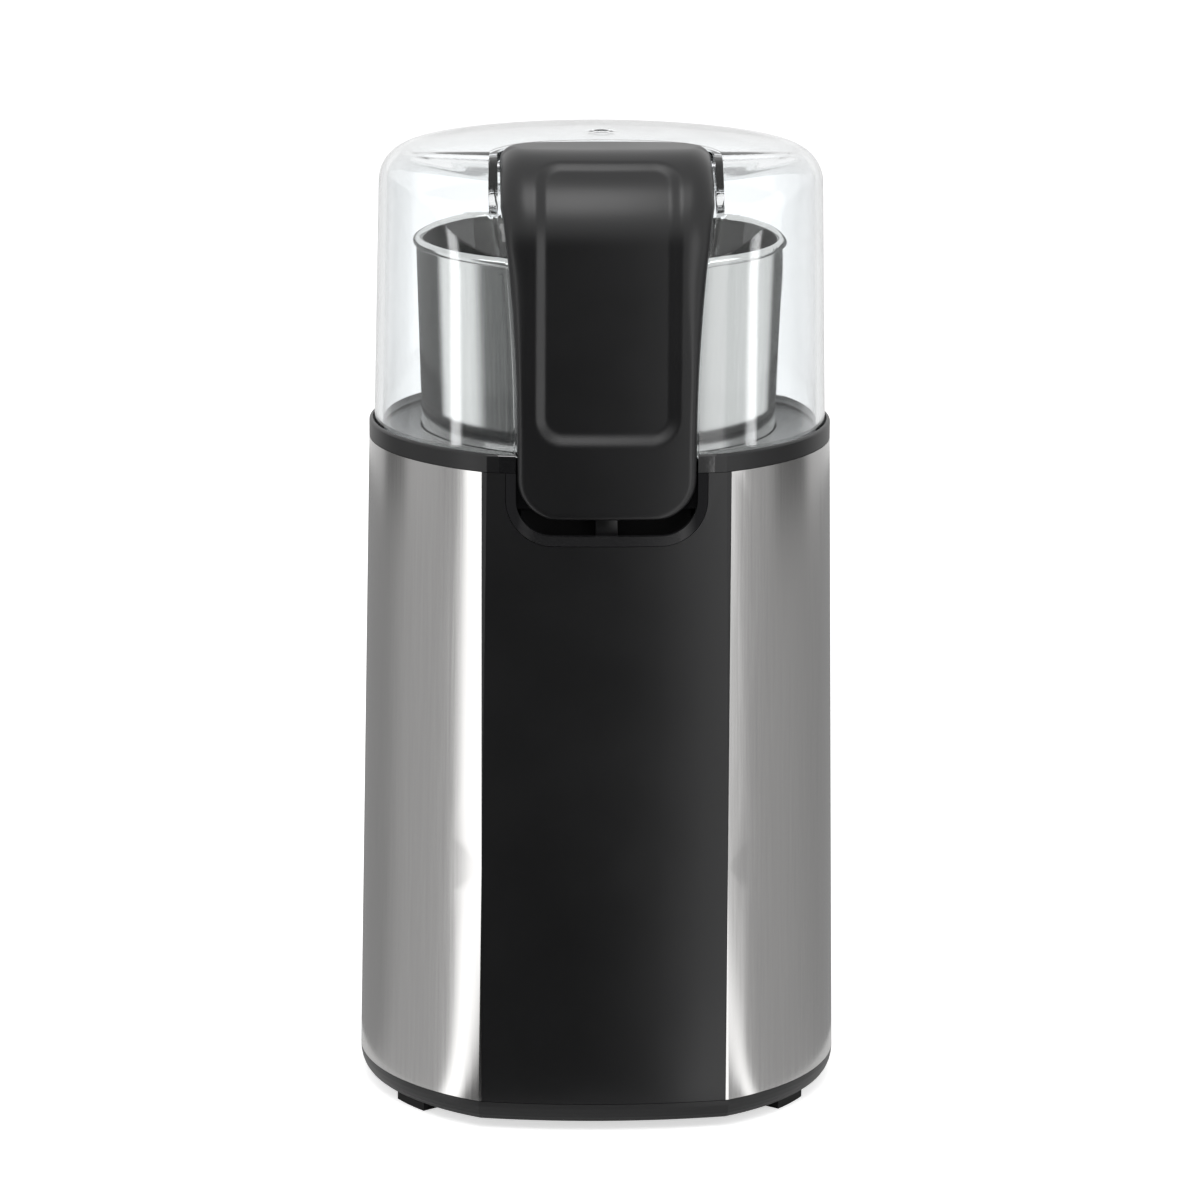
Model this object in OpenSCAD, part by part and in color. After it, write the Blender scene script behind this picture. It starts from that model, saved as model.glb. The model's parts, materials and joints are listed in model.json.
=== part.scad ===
// Electric blade coffee grinder with a fixed steel bowl, a clear lid and a press lever.
// Millimetres, +Z up, front towards -Y, origin on the motor axis at the standing plane.

/* [Body] */
// Outer radius of the collar ring
ring_r = 46; // [44:0.5:48]
// How much wider the body's radius is at its foot than at the collar
body_flare = 2.2; // [1:0.1:3]
// How far the bowed front cuts into the ring's circle
front_in = 4; // [3.4:0.1:4.4]
// How much further forward the bowed front stands at the body's foot
front_lean = 1.9; // [1:0.1:2.2]
// Radius of the bowed front in plan
front_bow_r = 120; // [110:1:140]
// Height of the feet below the skirt
foot_h = 2; // [1.5:0.1:3]
// Height of the black skirt between the feet and the steel jacket
skirt_h = 4; // [3:0.1:6]
// How far the skirt curves in at its foot
skirt_in = 2.2; // [1.5:0.1:3]
// Height of the steel jacket
jacket_h = 126.4; // [124:0.2:132]
// Sheet thickness of the steel jacket
jacket_t = 0.6; // [0.5:0.1:0.8]
// Width of the black front panel
panel_w = 48.3; // [47:0.1:49]
// Thickness of the front panel
panel_t = 2.2; // [2:0.1:2.6]
// Wall of the inner housing
housing_t = 2.2; // [2:0.1:2.6]

/* [Collar] */
// Height of the collar ring
ring_h = 3.6; // [3.2:0.1:4.4]
// Radius of the rounding on the ring's top edge
ring_round = 0.6; // [0.4:0.1:0.7]
// Depth of the groove in which the lid stands
groove_depth = 1.4; // [1:0.1:1.8]
// Width of the notch, over its bezel
notch_w = 39; // [38.6:0.1:40]
// Width of the bezel round the notch
bezel_w = 1.9; // [1.7:0.1:2.1]
// Height from the bezel's lowest edge to the ring's foot
notch_drop = 14.2; // [13.8:0.1:15]
// Corner radius of the notch, over its bezel
notch_corner = 9; // [8:0.1:10]

/* [Lid] */
// Radius of the lid at its foot
lid_r = 45; // [44.5:0.1:45.2]
// Radius of the lid where the wall meets the shoulder
lid_top_r = 44; // [43.5:0.1:44.5]
// Height of the lid
lid_h = 58.2; // [57.6:0.1:60]
// Radius of the rounded shoulder
shoulder_r = 7; // [6:0.1:8]
// Radius of the domed top
dome_r = 260; // [220:5:300]
// Wall of the lid
lid_t = 1.6; // [1.5:0.1:1.7]
// Distance of the lid's flattened front from the axis, at its foot
face_y = 40.5; // [40:0.1:41]
// How far that face leans back up to its bend
face_lean = 1.2; // [0.9:0.1:1.3]
// Radius of that face in plan
face_bow_r = 77; // [70:1:90]
// Height of the bend in that face, above the lid's foot
face_bend_up = 33; // [30:1:35]
// Depth of that bend from front to back
face_bend_y = 14; // [12:0.5:15]
// Width of the two ribs beside the lever
rib_w = 1.5; // [1.3:0.1:1.8]
// Height of those ribs above the flattened face
rib_h = 1.2; // [0.8:0.1:1.4]

/* [Press lever] */
// Width of the lever at its tip
lever_w = 34.6; // [34:0.1:34.8]
// How much wider the lever is at the top
lever_flare = 6.4; // [5:0.1:7]
// Distance of the lever's face from the axis
lever_y = 43; // [42.8:0.1:43.2]
// Gap between the bezel and the lever's tip
tip_gap = 3.2; // [2.6:0.1:3.6]
// Corner radius of the tip
tip_corner = 8; // [7:0.1:8.5]
// Thickness of the lever's plate
lever_t = 1.6; // [1.5:0.05:1.7]
// Depth of the skirts along the lever's upper edges
lever_skirt = 2.6; // [2.2:0.1:2.7]
// Distance of the lever's rear end from the axis
lever_end_y = 16; // [15:0.5:18]
// Corner radius of the lever's rear end
end_corner = 9; // [8:0.5:10]
// Width of the recessed finger panel
recess_w = 28; // [26:0.5:29]
// Width of the sloped edge round the recess
recess_bevel = 2.4; // [2:0.1:3]
// Depth of the recess
recess_depth = 0.9; // [0.6:0.05:1]
// Radius of the lever pin
lever_pin_r = 1; // [0.9:0.05:1.1]
// Angle of a full press, in degrees
press_angle = 2; // [1:0.25:2]

/* [Bowl and blade] */
// Outer radius of the bowl's rolled rim
cup_rim_r = 37.2; // [36.5:0.1:37.2]
// Height of the rim above the lid's foot
cup_rise = 37.7; // [36:0.1:38.5]
// Depth of the bowl
cup_depth = 49; // [48:0.5:49.5]
// Sheet thickness of the bowl
cup_t = 0.6; // [0.5:0.05:0.8]
// Radius of the curve between the bowl's wall and floor
cup_corner = 9; // [7:0.5:10]
// How much narrower the bowl is at its floor
cup_taper = 1.2; // [0.8:0.1:2]
// Length of the blade, tip to tip
blade_len = 56; // [48:1:60]
// Width of the blade
blade_w = 10; // [8:0.5:12]
// Thickness of the blade
blade_t = 1.4; // [1.2:0.1:1.8]
// Angle of the blade's raised tips, in degrees
blade_lift = 18; // [10:1:25]

/* [Motor] */
// Radius of the motor shaft
shaft_r = 3; // [2.5:0.25:3.5]
// Radius of the rotor
rotor_r = 18.7; // [17:0.1:19]
// Running gap between rotor and poles
air_gap = 0.6; // [0.5:0.05:0.8]
// Height of the laminated stack
stack_h = 24; // [20:1:28]
// Width of the stator
stator_w = 62; // [58:1:64]
// Depth of the stator from front to back
stator_d = 58; // [56:1:60]
// Radius of the commutator
comm_r = 9; // [8:0.5:10]
// Number of rotor slots
rotor_slots = 12; // [8:1:14]
// Radius of the cooling fan
fan_r = 24; // [20:1:26]
// Number of fan blades
fan_blades = 9; // [7:1:13]

/* [Base] */
// Thickness of the base cover's floor
floor_t = 2.5; // [2.2:0.1:3]
// Number of air slots in the floor
vent_count = 16; // [8:2:20]
// Radius of the cord's passage through the grommet
cord_r = 3.3; // [2.8:0.1:3.8]
// Height of the grommet's axis above the standing plane
cord_z = 20; // [18:0.5:24]

/* [Hidden] */
$fn = 96;

// Overrun of every cut
over = 1;
// Gap between parts that are fixed together
fit = 0.1;
// Running gap between a shaft and its bearing, on the radius
run_gap = 0.05;
// Gap between parts that only rest on or pass each other
gap = 0.3;
black = "#232323";
steel = "#b4b4b4";

// Heights of the body, from the standing plane
skirt_z = foot_h;
jacket_z = skirt_z + skirt_h;
ring_z = jacket_z + jacket_h;
ring_top = ring_z + ring_h;
deck_z = ring_top - groove_depth;
lid_z = deck_z + gap;
lid_top = lid_z + lid_h;
notch_z = ring_z - notch_drop;

// The lever stands a little proud of the lid and turns on its pin
lever_proud = 0.3;
lever_top = lid_top + lever_proud;
pivot_y = 21;
pivot_drop = 4.5;
pivot_z = lever_top - pivot_drop;
tab_t = 0.9;
tab_gap = 0.5;

// Plan of the body: a circle cut by a flatter bow at the front
bow_y = front_bow_r - ring_r + front_in;
// Insets at which the housing's front wall begins and at which there is room inside it
set_back = panel_t + fit;
inner_inset = set_back + housing_t + fit;
function flare_share(z) = (ring_z - z) / jacket_h;
function side_r(z) = ring_r + body_flare * flare_share(min(z, ring_z));
function front_r(z) = front_bow_r + front_lean * flare_share(min(z, ring_z));
function front_y(z) = front_r(z) - bow_y;

// A solid of the body's plan; points are pairs of inset and height, from the foot up
module body_form(points) {
    last = len(points) - 1;
    intersection() {
        rotate_extrude()
            polygon(concat([[0, points[0][1]]], [for (p = points) [side_r(p[1]) - p[0], p[1]]],
                [[0, points[last][1]]]));
        translate([0, bow_y, 0])
            rotate_extrude()
                polygon(concat([[0, points[0][1]]], [for (p = points) [front_r(p[1]) - p[0], p[1]]],
                    [[0, points[last][1]]]));
    }
}

// A hollow wall of the body's plan between two insets
module body_wall(inset, wall, z0, z1) {
    difference() {
        body_form([[inset, z0], [inset, z1]]);
        body_form([[inset + wall, z0 - over], [inset + wall, z1 + over]]);
    }
}

module tube(outer, inner, height) {
    difference() {
        cylinder(r = outer, h = height);
        translate([0, 0, -over])
            cylinder(r = inner, h = height + 2 * over);
    }
}

// A sector of a ring, centred on an angle
module ring_sector(outer, inner, height, middle, spread) {
    rotate([0, 0, middle - spread / 2])
        rotate_extrude(angle = spread)
            translate([inner, 0])
                square([outer - inner, height]);
}

module rounded_box(size, corner) {
    linear_extrude(size[2])
        rounded_rect(size[0], size[1], corner);
}

module rounded_rect(w, d, corner) {
    square([w - 2 * corner, d], center = true);
    square([w, d - 2 * corner], center = true);
    for (x = [-1, 1], y = [-1, 1])
        translate([x * (w / 2 - corner), y * (d / 2 - corner)])
            circle(r = corner);
}

// A screw that points up from its head's underside
module screw(r, length, head_r, head_h) {
    translate([0, 0, -head_h])
        difference() {
            cylinder(r1 = head_r * head_share, r2 = head_r, h = head_h);
            for (turn = [0, 90])
                rotate([0, 0, turn])
                    translate([-head_r * slot_long_share, -head_r * slot_wide_share, -over])
                        cube([2 * head_r * slot_long_share, 2 * head_r * slot_wide_share,
                            over + head_h * slot_deep_share]);
        }
    translate([0, 0, -head_h / 2])
        cylinder(r = r, h = length + head_h / 2);
}
head_share = 0.8;
slot_long_share = 0.6;
slot_wide_share = 0.12;
slot_deep_share = 0.4;

// A closed skin over rings of points, all with as many points
module loft(rings) {
    n = len(rings[0]);
    last = len(rings) - 1;
    polyhedron(
        points = [for (ring = rings) each ring],
        faces = concat(
            [for (i = [0:last - 1], j = [0:n - 1])
                each [[i * n + j, i * n + (j + 1) % n, (i + 1) * n + j],
                    [i * n + (j + 1) % n, (i + 1) * n + (j + 1) % n, (i + 1) * n + j]]],
            [for (j = [1:n - 2]) [0, j + 1, j]],
            [for (j = [1:n - 2]) [last * n, last * n + j, last * n + j + 1]]));
}

// A wire coiled round the Z axis from zero height upwards, with a straight leg at each end
wire_sides = 6;
turn_steps = 8;
module coil(r, wire_r, turns, height, start = 0, leg = 0) {
    steps = round(turns * turn_steps);
    legs = leg > 0 ? 1 : 0;
    loft([for (i = [-legs:steps + legs])
        let (
            on = max(0, min(steps, i)),
            a = start + 360 * turns * on / steps,
            z = height * on / steps,
            out = (i - on) * leg)
            [for (k = [0:wire_sides - 1])
                let (b = 360 * k / wire_sides, c = r + wire_r * cos(b))
                    [c * cos(a) - out * sin(a), c * sin(a) + out * cos(a), z + wire_r * sin(b)]]]);
}

// Base cover: skirt, floor with air slots, upstand inside the housing, screw bosses and clamp posts
upstand_h = 7;
upstand_t = 2;
boss_r = 4;
boss_ring_r = 36;
boss_angles = [60, 180, 300];
base_screw_r = 1.6;
base_head_r = 2.8;
base_head_h = 1.8;
base_screw_l = 14;
vent_w = 2.4;
vent_r0 = 9;
vent_r1 = 25;
foot_w = 5;
foot_spread = 12;
foot_seat = 1.4;
foot_angles = [-147, -33, 33, 147];
floor_z = skirt_z + floor_t;
upstand_inset = inner_inset;
skirt_steps = 6;
foot_r = side_r(jacket_z) - skirt_in - gap;
module base_cover() {
    color(black)
        difference() {
            union() {
                body_form([for (i = [0:skirt_steps])
                    let (a = 90 * i / skirt_steps)
                        [skirt_in * (1 - sin(a)), skirt_z + skirt_h * (1 - cos(a))]]);
                body_form([[upstand_inset, jacket_z - over], [upstand_inset, jacket_z + upstand_h]]);
            }
            difference() {
                body_form([[upstand_inset + upstand_t, floor_z],
                    [upstand_inset + upstand_t, jacket_z + upstand_h + over]]);
                for (a = boss_angles)
                    rotate([0, 0, a])
                        translate([boss_ring_r, 0, 0])
                            cylinder(r = boss_r, h = jacket_z + upstand_h - fit);
                for (x = [-1, 1])
                    translate([x * clamp_screw_x, clamp_y, 0])
                        cylinder(r = clamp_post_r, h = clamp_z);
            }
            for (a = boss_angles)
                rotate([0, 0, a])
                    translate([boss_ring_r, 0, 0]) {
                        cylinder(r = base_screw_r + fit, h = ring_z);
                        cylinder(r = base_head_r + gap, h = skirt_z + base_head_h + gap);
                    }
            for (i = [0:vent_count - 1])
                rotate([0, 0, 360 * i / vent_count])
                    translate([vent_r0, -vent_w / 2, 0])
                        cube([vent_r1 - vent_r0, vent_w, ring_z]);
            for (a = foot_angles)
                translate([0, 0, skirt_z - over])
                    ring_sector(foot_r + fit, foot_r - foot_w - fit, over + foot_seat + fit, a,
                        foot_spread + foot_slack);
            for (x = [-1, 1])
                translate([x * clamp_screw_x, clamp_y, clamp_z - clamp_screw_l])
                    cylinder(r = clamp_screw_r + fit, h = ring_z);
        }
}
foot_slack = 0.4;

module rubber_feet() {
    color("#2b2b2b")
        for (a = foot_angles)
            ring_sector(foot_r, foot_r - foot_w, foot_h + foot_seat, a, foot_spread);
}

module base_screws() {
    color(steel)
        for (a = boss_angles)
            rotate([0, 0, a])
                translate([boss_ring_r, 0, skirt_z + base_head_h])
                    screw(base_screw_r, base_screw_l, base_head_r, base_head_h);
}

// Inner housing: wall set back at the front for the panel, shelf for the motor, bosses over the base's
housing_z = jacket_z + fit;
housing_top = ring_z - fit;
housing_boss_h = 14;
shelf_t = 2.5;
shelf_in_r = 33;
rib_t = 1.6;
rib_reach = [10, 10, 8.2];
housing_mid = jacket_t + fit + housing_t / 2;
module front_zone(width) {
    translate([-width / 2, -ring_r - panel_w, 0])
        cube([width, ring_r + panel_w - shelf_in_r + housing_t, ring_z + over / 2]);
}

module housing_wall() {
    side_in = jacket_t + fit + housing_t;
    front_in_side = set_back + housing_t;
    difference() {
        body_form([[jacket_t + fit, housing_z], [jacket_t + fit, housing_top]]);
        difference() {
            body_form([[side_in, housing_z - over], [side_in, housing_top + over]]);
            difference() {
                front_zone(panel_w + 2 * housing_t);
                body_form([[front_in_side, 0], [front_in_side, ring_z + over]]);
            }
        }
    }
}

module inner_housing() {
    boss_z = jacket_z + upstand_h;
    color(black)
        difference() {
            union() {
                housing_wall();
                difference() {
                    body_form([[housing_mid, shelf_z], [housing_mid, shelf_z + shelf_t]]);
                    cylinder(r = shelf_in_r, h = ring_z);
                }
                for (i = [0:len(boss_angles) - 1])
                    rotate([0, 0, boss_angles[i]])
                        translate([boss_ring_r, 0, boss_z]) {
                            cylinder(r = boss_r, h = housing_boss_h);
                            translate([0, -rib_t / 2, 0])
                                cube([rib_reach[i], rib_t, housing_boss_h]);
                        }
            }
            difference() {
                front_zone(panel_w + 2 * fit);
                body_form([[set_back, 0], [set_back, ring_z + over]]);
            }
            translate([-notch_w / 2 - gap, -ring_r - over, pocket_z - pocket_wall - gap])
                cube([notch_w + 2 * gap, ring_r - shelf_in_r + over, ring_z]);
            for (a = boss_angles)
                rotate([0, 0, a])
                    translate([boss_ring_r, 0, 0])
                        cylinder(r = base_screw_r + run_gap, h = skirt_z + base_head_h + base_screw_l + gap);
            translate([0, 0, cord_z])
                rotate([-90, 0, 0])
                    cylinder(r = grommet_neck_r + fit, h = ring_r + body_flare + over);
        }
}

// Steel jacket: one sheet round the sides and the back, open at the panel
module steel_jacket() {
    color(steel)
        difference() {
            body_wall(0, jacket_t, jacket_z + fit, ring_z - fit);
            translate([-panel_w / 2, -ring_r - panel_w, 0])
                cube([panel_w, ring_r + panel_w, ring_z]);
            translate([0, 0, cord_z])
                rotate([-90, 0, 0])
                    cylinder(r = grommet_neck_r + fit, h = ring_r + body_flare + over);
        }
}

// Outline of the notch in the XZ plane, grown by an amount, open at the top
module notch_outline(grow) {
    half = notch_w / 2 + grow;
    corner = notch_corner + grow;
    foot = notch_z - grow;
    translate([-half, foot + corner])
        square([2 * half, ring_top + over - foot - corner]);
    translate([-half + corner, foot])
        square([2 * (half - corner), corner + over]);
    for (x = [-1, 1])
        translate([x * (half - corner), foot + corner])
            circle(r = corner);
}

// A prism of a front outline, drawn in the XZ plane, through everything in front of a distance
module through_front(from_y) {
    translate([0, -from_y, 0])
        rotate([90, 0, 0])
            linear_extrude(ring_r + body_flare - from_y + over)
                children();
}

module front_panel() {
    color(black)
        difference() {
            intersection() {
                body_wall(0, panel_t, jacket_z + fit, ring_z - fit);
                translate([-panel_w / 2 + fit, -ring_r - panel_w, 0])
                    cube([panel_w - 2 * fit, ring_r + panel_w, ring_z]);
            }
            through_front(shelf_in_r)
                notch_outline(fit);
        }
}

// Sizes of the bowl, which the collar follows
rim_z = lid_z + cup_rise;
cup_z = rim_z - cup_depth - cup_t;
bead_r = 0.9;
hub_r = 8;
hub_rise = 1.6;
seal_r = 5.5;
cup_wall_r = cup_rim_r - bead_r + cup_t / 2;
cup_foot_r = cup_wall_r - cup_taper;
function cup_r(z) = cup_foot_r + cup_taper * (z - cup_z - cup_corner) / (rim_z - cup_z - cup_corner);
cup_steps = 8;
cup_hole_r = 1.7;

// Collar and lever guide: ring and deck round the bowl, bezel round the notch, pocket behind it
deck_hole_r = cup_r(deck_z) + gap;
well_t = 1.2;
well_h = 5.8;
spigot_h = 4;
pocket_dip = 3.2;
pocket_z = notch_z + bezel_w - pocket_dip;
pocket_wall = 1.2;
pocket_back_y = deck_hole_r + pocket_wall;
pocket_open_h = 7.7;
bezel_t = 1.5;
lip_t = 0.7;
ring_steps = 5;
mouth_w = notch_w - 2 * bezel_w;
module collar_form() {
    difference() {
        union() {
            difference() {
                body_form(concat([[0, ring_z]], [for (i = [0:ring_steps])
                    let (a = 90 * i / ring_steps)
                        [ring_round * (1 - cos(a)), ring_top - ring_round * (1 - sin(a))]]));
                body_form([[lip_t, deck_z], [lip_t, ring_top + over]]);
                translate([0, 0, ring_z - over])
                    cylinder(r = deck_hole_r, h = ring_h + 2 * over);
            }
            body_wall(inner_inset, well_t, ring_z - spigot_h, ring_z + over);
            translate([0, 0, ring_z - well_h])
                tube(deck_hole_r + well_t, deck_hole_r, well_h + over);
            intersection() {
                body_form([[0, pocket_z - pocket_wall], [0, ring_z + over]]);
                through_front(pocket_back_y - pocket_wall + fit)
                    intersection() {
                        notch_outline(0);
                        translate([-notch_w / 2, notch_z])
                            square([notch_w, ring_z + ring_h / 2 - notch_z]);
                    }
            }
            intersection() {
                body_form([[set_back, pocket_z - pocket_wall], [set_back, deck_z]]);
                translate([-notch_w / 2, -ring_r, pocket_z - pocket_wall])
                    cube([notch_w, ring_r - pocket_back_y + pocket_wall - fit,
                        deck_z - pocket_z + pocket_wall]);
            }
        }
        through_front(pocket_back_y)
            intersection() {
                notch_outline(-bezel_w);
                translate([-notch_w / 2, notch_z])
                    square([notch_w, ring_top + over - notch_z]);
            }
        intersection() {
            body_form([[bezel_t, pocket_z], [bezel_t, ring_top + over]]);
            translate([-mouth_w / 2, -ring_r, pocket_z])
                cube([mouth_w, ring_r - pocket_back_y, ring_top]);
        }
        translate([-mouth_w / 2, -pocket_back_y - over, pocket_z])
            cube([mouth_w, pocket_back_y + over - shelf_in_r, pocket_open_h]);
        cylinder(r = deck_hole_r, h = ring_top + over);
    }
}

// What belongs to the guide: the bezel, the pocket, and its back wall up to the deck
module guide_zone(grow) {
    for (part = [[notch_w / 2, ring_z - fit], [mouth_w / 2 - fit, ring_top]])
        translate([-part[0] - grow, -ring_r - over, 0])
            cube([2 * (part[0] + grow), ring_r + over, part[1] + grow]);
}

module top_collar() {
    color(black)
        difference() {
            collar_form();
            guide_zone(fit);
        }
}

module lever_guide() {
    color(black)
        intersection() {
            collar_form();
            guide_zone(0);
        }
}

// Bowl: tapered wall, rolled rim, rounded foot, raised hub with the shaft's passage
function cup_outline(inset) = concat(
    [[0, cup_z + inset]],
    [for (i = [0:cup_steps])
        let (a = 90 * i / cup_steps)
            [cup_foot_r - cup_corner + (cup_corner - inset) * sin(a),
                cup_z + cup_corner - (cup_corner - inset) * cos(a)]],
    [[cup_wall_r - inset, rim_z - bead_r + (inset > 0 ? over : 0)],
        [0, rim_z - bead_r + (inset > 0 ? over : 0)]]);
module grinding_cup() {
    color("#c8c8c8")
        difference() {
            union() {
                difference() {
                    rotate_extrude()
                        polygon(cup_outline(0));
                    rotate_extrude()
                        polygon(cup_outline(cup_t));
                }
                translate([0, 0, rim_z - bead_r])
                    rotate_extrude()
                        translate([cup_rim_r - bead_r, 0])
                            circle(r = bead_r, $fn = 24);
                translate([0, 0, cup_z])
                    cylinder(r = hub_r, h = hub_rise + cup_t);
            }
            translate([0, 0, cup_z - over])
                cylinder(r = seal_r, h = hub_rise + cup_t + 2 * over);
            translate([0, 0, cup_z - over])
                tube(hub_r - cup_t, seal_r, hub_rise + over);
            for (a = pillar_angles)
                rotate([0, 0, a])
                    translate([pillar_ring_r, 0, cup_z - over])
                        cylinder(r = cup_hole_r + fit, h = cup_t + 2 * over);
        }
}

gasket_h = 1.5;
gasket_w = 4;
module cup_gasket() {
    color("#3a3a3a")
        translate([0, 0, cup_z - gasket_h])
            tube(hub_r + gasket_w, hub_r, gasket_h);
}

pillar_angles = [90, 210, 330];
pillar_ring_r = 22;
pillar_r = 4;
cup_screw_l = 10;
cup_head_r = 3.2;
cup_head_h = 1.6;
module cup_screws() {
    color(steel)
        for (a = pillar_angles)
            rotate([0, 0, a])
                translate([pillar_ring_r, 0, cup_z + cup_t])
                    mirror([0, 0, 1])
                        screw(cup_hole_r, cup_screw_l, cup_head_r, cup_head_h);
}

seal_flange = 1.2;
module shaft_seal() {
    color("#4a2f28")
        translate([0, 0, cup_z - gasket_h]) {
            difference() {
                union() {
                    cylinder(r = seal_r - fit / 2, h = gasket_h + hub_rise + cup_t + fit);
                    translate([0, 0, gasket_h + hub_rise + cup_t + fit / 2])
                        cylinder(r1 = seal_r + seal_flange, r2 = seal_r - seal_flange, h = seal_flange);
                    cylinder(r = hub_r - cup_t - fit, h = gasket_h - fit);
                }
                translate([0, 0, -over])
                    cylinder(r = shaft_r + gap, h = gasket_h + hub_rise + cup_t + seal_flange + 2 * over);
            }
        }
}

// Motor, set out upwards from the stack's foot
stack_z = 58;
column_y = 24;
column_r = 3.4;
motor_screw_r = 1.9;
bracket_t = 3;
winding_h = 5.5;
top_disc_z = 106;
top_disc_t = 3;
top_disc_r = 37;
damper_h = 3;
shelf_z = top_disc_z - damper_h - shelf_t - fit;
bearing_r = 6;
bearing_h = 8;
bearing_wall = 2.5;
top_bearing_z = 98;
bottom_plate_z = 36;
bottom_plate_r = 25;
bottom_bearing_z = 29;
module motor_top_bracket() {
    pillar_top = cup_z - fit;
    color("#5c5c5c")
        difference() {
            union() {
                translate([0, 0, top_disc_z])
                    cylinder(r = top_disc_r, h = top_disc_t);
                translate([0, 0, top_bearing_z])
                    cylinder(r = bearing_r + bearing_wall, h = top_disc_z - top_bearing_z + over);
                translate([0, 0, top_disc_z])
                    cylinder(r = hub_r + gasket_w, h = cup_z - gasket_h - fit - top_disc_z);
                for (a = pillar_angles)
                    rotate([0, 0, a])
                        translate([pillar_ring_r, 0, top_disc_z]) {
                            cylinder(r = pillar_r, h = pillar_top - top_disc_z);
                            translate([-pillar_ring_r + hub_r, -rib_t / 2, 0])
                                cube([pillar_ring_r - hub_r, rib_t, (pillar_top - top_disc_z) / 2]);
                        }
                for (y = [-1, 1])
                    translate([0, y * column_y, stack_z + stack_h])
                        cylinder(r = column_r, h = top_disc_z - stack_z - stack_h + over);
            }
            translate([0, 0, top_bearing_z - over])
                cylinder(r = bearing_r, h = bearing_h + over);
            cylinder(r = shaft_r + run_gap + gap, h = cup_z);
            for (y = [-1, 1])
                translate([0, y * column_y, 0])
                    cylinder(r = motor_screw_r + fit, h = top_disc_z);
            for (a = pillar_angles)
                rotate([0, 0, a])
                    translate([pillar_ring_r, 0, cup_z - cup_screw_l - gap])
                        cylinder(r = cup_hole_r + run_gap, h = cup_screw_l + over);
            for (x = [-1, 1])
                translate([x * carrier_screw_x, -carrier_screw_y, top_disc_z - over])
                    cylinder(r = switch_screw_r + run_gap, h = top_disc_t + 2 * over);
        }
}

brush_z = 46;
tube_r0 = comm_r + 1;
tube_len = 15;
tube_w = 7;
tube_h = 8;
tube_t = 0.6;
module motor_bottom_bracket() {
    color("#5c5c5c")
        difference() {
            union() {
                translate([0, 0, bottom_plate_z])
                    cylinder(r = bottom_plate_r, h = bracket_t);
                translate([0, 0, bottom_bearing_z])
                    cylinder(r = bearing_r + bearing_wall, h = bottom_plate_z - bottom_bearing_z + over);
                for (y = [-1, 1])
                    translate([0, y * column_y, bottom_plate_z])
                        cylinder(r = column_r, h = stack_z - bottom_plate_z);
                for (x = [-1, 1])
                    translate([x * (tube_r0 + tube_len / 2) - brush_seat / 2, -tube_w / 2, bottom_plate_z])
                        cube([brush_seat, tube_w, brush_z - tube_h / 2 - bottom_plate_z]);
            }
            translate([0, 0, bottom_bearing_z - over])
                cylinder(r = bearing_r, h = bearing_h + over);
            translate([0, 0, bottom_bearing_z - over])
                cylinder(r = shaft_r + run_gap + gap, h = stack_z);
            for (y = [-1, 1])
                translate([0, y * column_y, 0])
                    cylinder(r = motor_screw_r + fit, h = stack_z + over);
        }
}
brush_seat = 8;

module rubber_damper() {
    color("#303030")
        translate([0, 0, shelf_z + shelf_t + fit / 2])
            tube(top_disc_r, shelf_in_r, damper_h);
}

module bearing() {
    color("#b08d57")
        tube(bearing_r - fit / 2, shaft_r + run_gap, bearing_h - fit);
}

module top_bearing() {
    translate([0, 0, top_bearing_z])
        bearing();
}

module bottom_bearing() {
    translate([0, 0, bottom_bearing_z])
        bearing();
}

// Stator: yoke, two pole shoes and the necks that carry them
yoke_t = 6;
yoke_corner = 9;
bore_r = rotor_r + air_gap;
shoe_t = 2.5;
neck_w = 18;
shoe_spread = 120;
module stator_core() {
    color("#8a8a8a")
        translate([0, 0, stack_z])
            difference() {
                union() {
                    difference() {
                        rounded_box([stator_w, stator_d, stack_h], yoke_corner);
                        translate([0, 0, -over])
                            rounded_box([stator_w - 2 * yoke_t, stator_d - 2 * yoke_t,
                                stack_h + 2 * over], yoke_corner - yoke_t / 2);
                    }
                    for (a = [90, 270])
                        ring_sector(bore_r + shoe_t, bore_r, stack_h, a, shoe_spread);
                    for (a = [90, 270])
                        rotate([0, 0, a])
                            translate([bore_r + shoe_t / 2, -neck_w / 2, 0])
                                cube([stator_d / 2 - yoke_t / 2 - bore_r - shoe_t / 2, neck_w, stack_h]);
                }
                for (y = [-1, 1])
                    translate([0, y * column_y, -over])
                        cylinder(r = motor_screw_r + fit, h = stack_h + 2 * over);
            }
}

// Field coils: legs in the corners of the window, turned over the necks above and below the stack
coil_r0 = bore_r + shoe_t + gap;
coil_deep = 3.4;
coil_r1 = coil_r0 + coil_deep;
leg_spread = 18;
leg_angle = 38;
module field_coils() {
    color("#9a5a2c")
        for (side = [90, 270]) {
            for (leg = [-1, 1])
                translate([0, 0, stack_z - winding_h])
                    ring_sector(coil_r1, coil_r0, stack_h + 2 * winding_h, side + leg * (90 - leg_angle),
                        leg_spread);
            for (z = [stack_z - winding_h, stack_z + stack_h + gap])
                translate([0, 0, z])
                    difference() {
                        ring_sector(coil_r1 - fit, coil_r0 + fit, winding_h - gap, side,
                            2 * (90 - leg_angle));
                        rotate([0, 0, side])
                            translate([column_y, 0, -over])
                                cylinder(r = column_r + gap, h = winding_h + 2 * over);
                    }
        }
}

module brush_tubes() {
    color("#b5a45c")
        for (side = [0, 180])
            rotate([0, 0, side])
                translate([tube_r0, 0, brush_z])
                    rotate([90, 0, 90])
                        linear_extrude(tube_len)
                            difference() {
                                square([tube_w, tube_h], center = true);
                                square([tube_w - 2 * tube_t, tube_h - 2 * tube_t], center = true);
                            }
}

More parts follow.
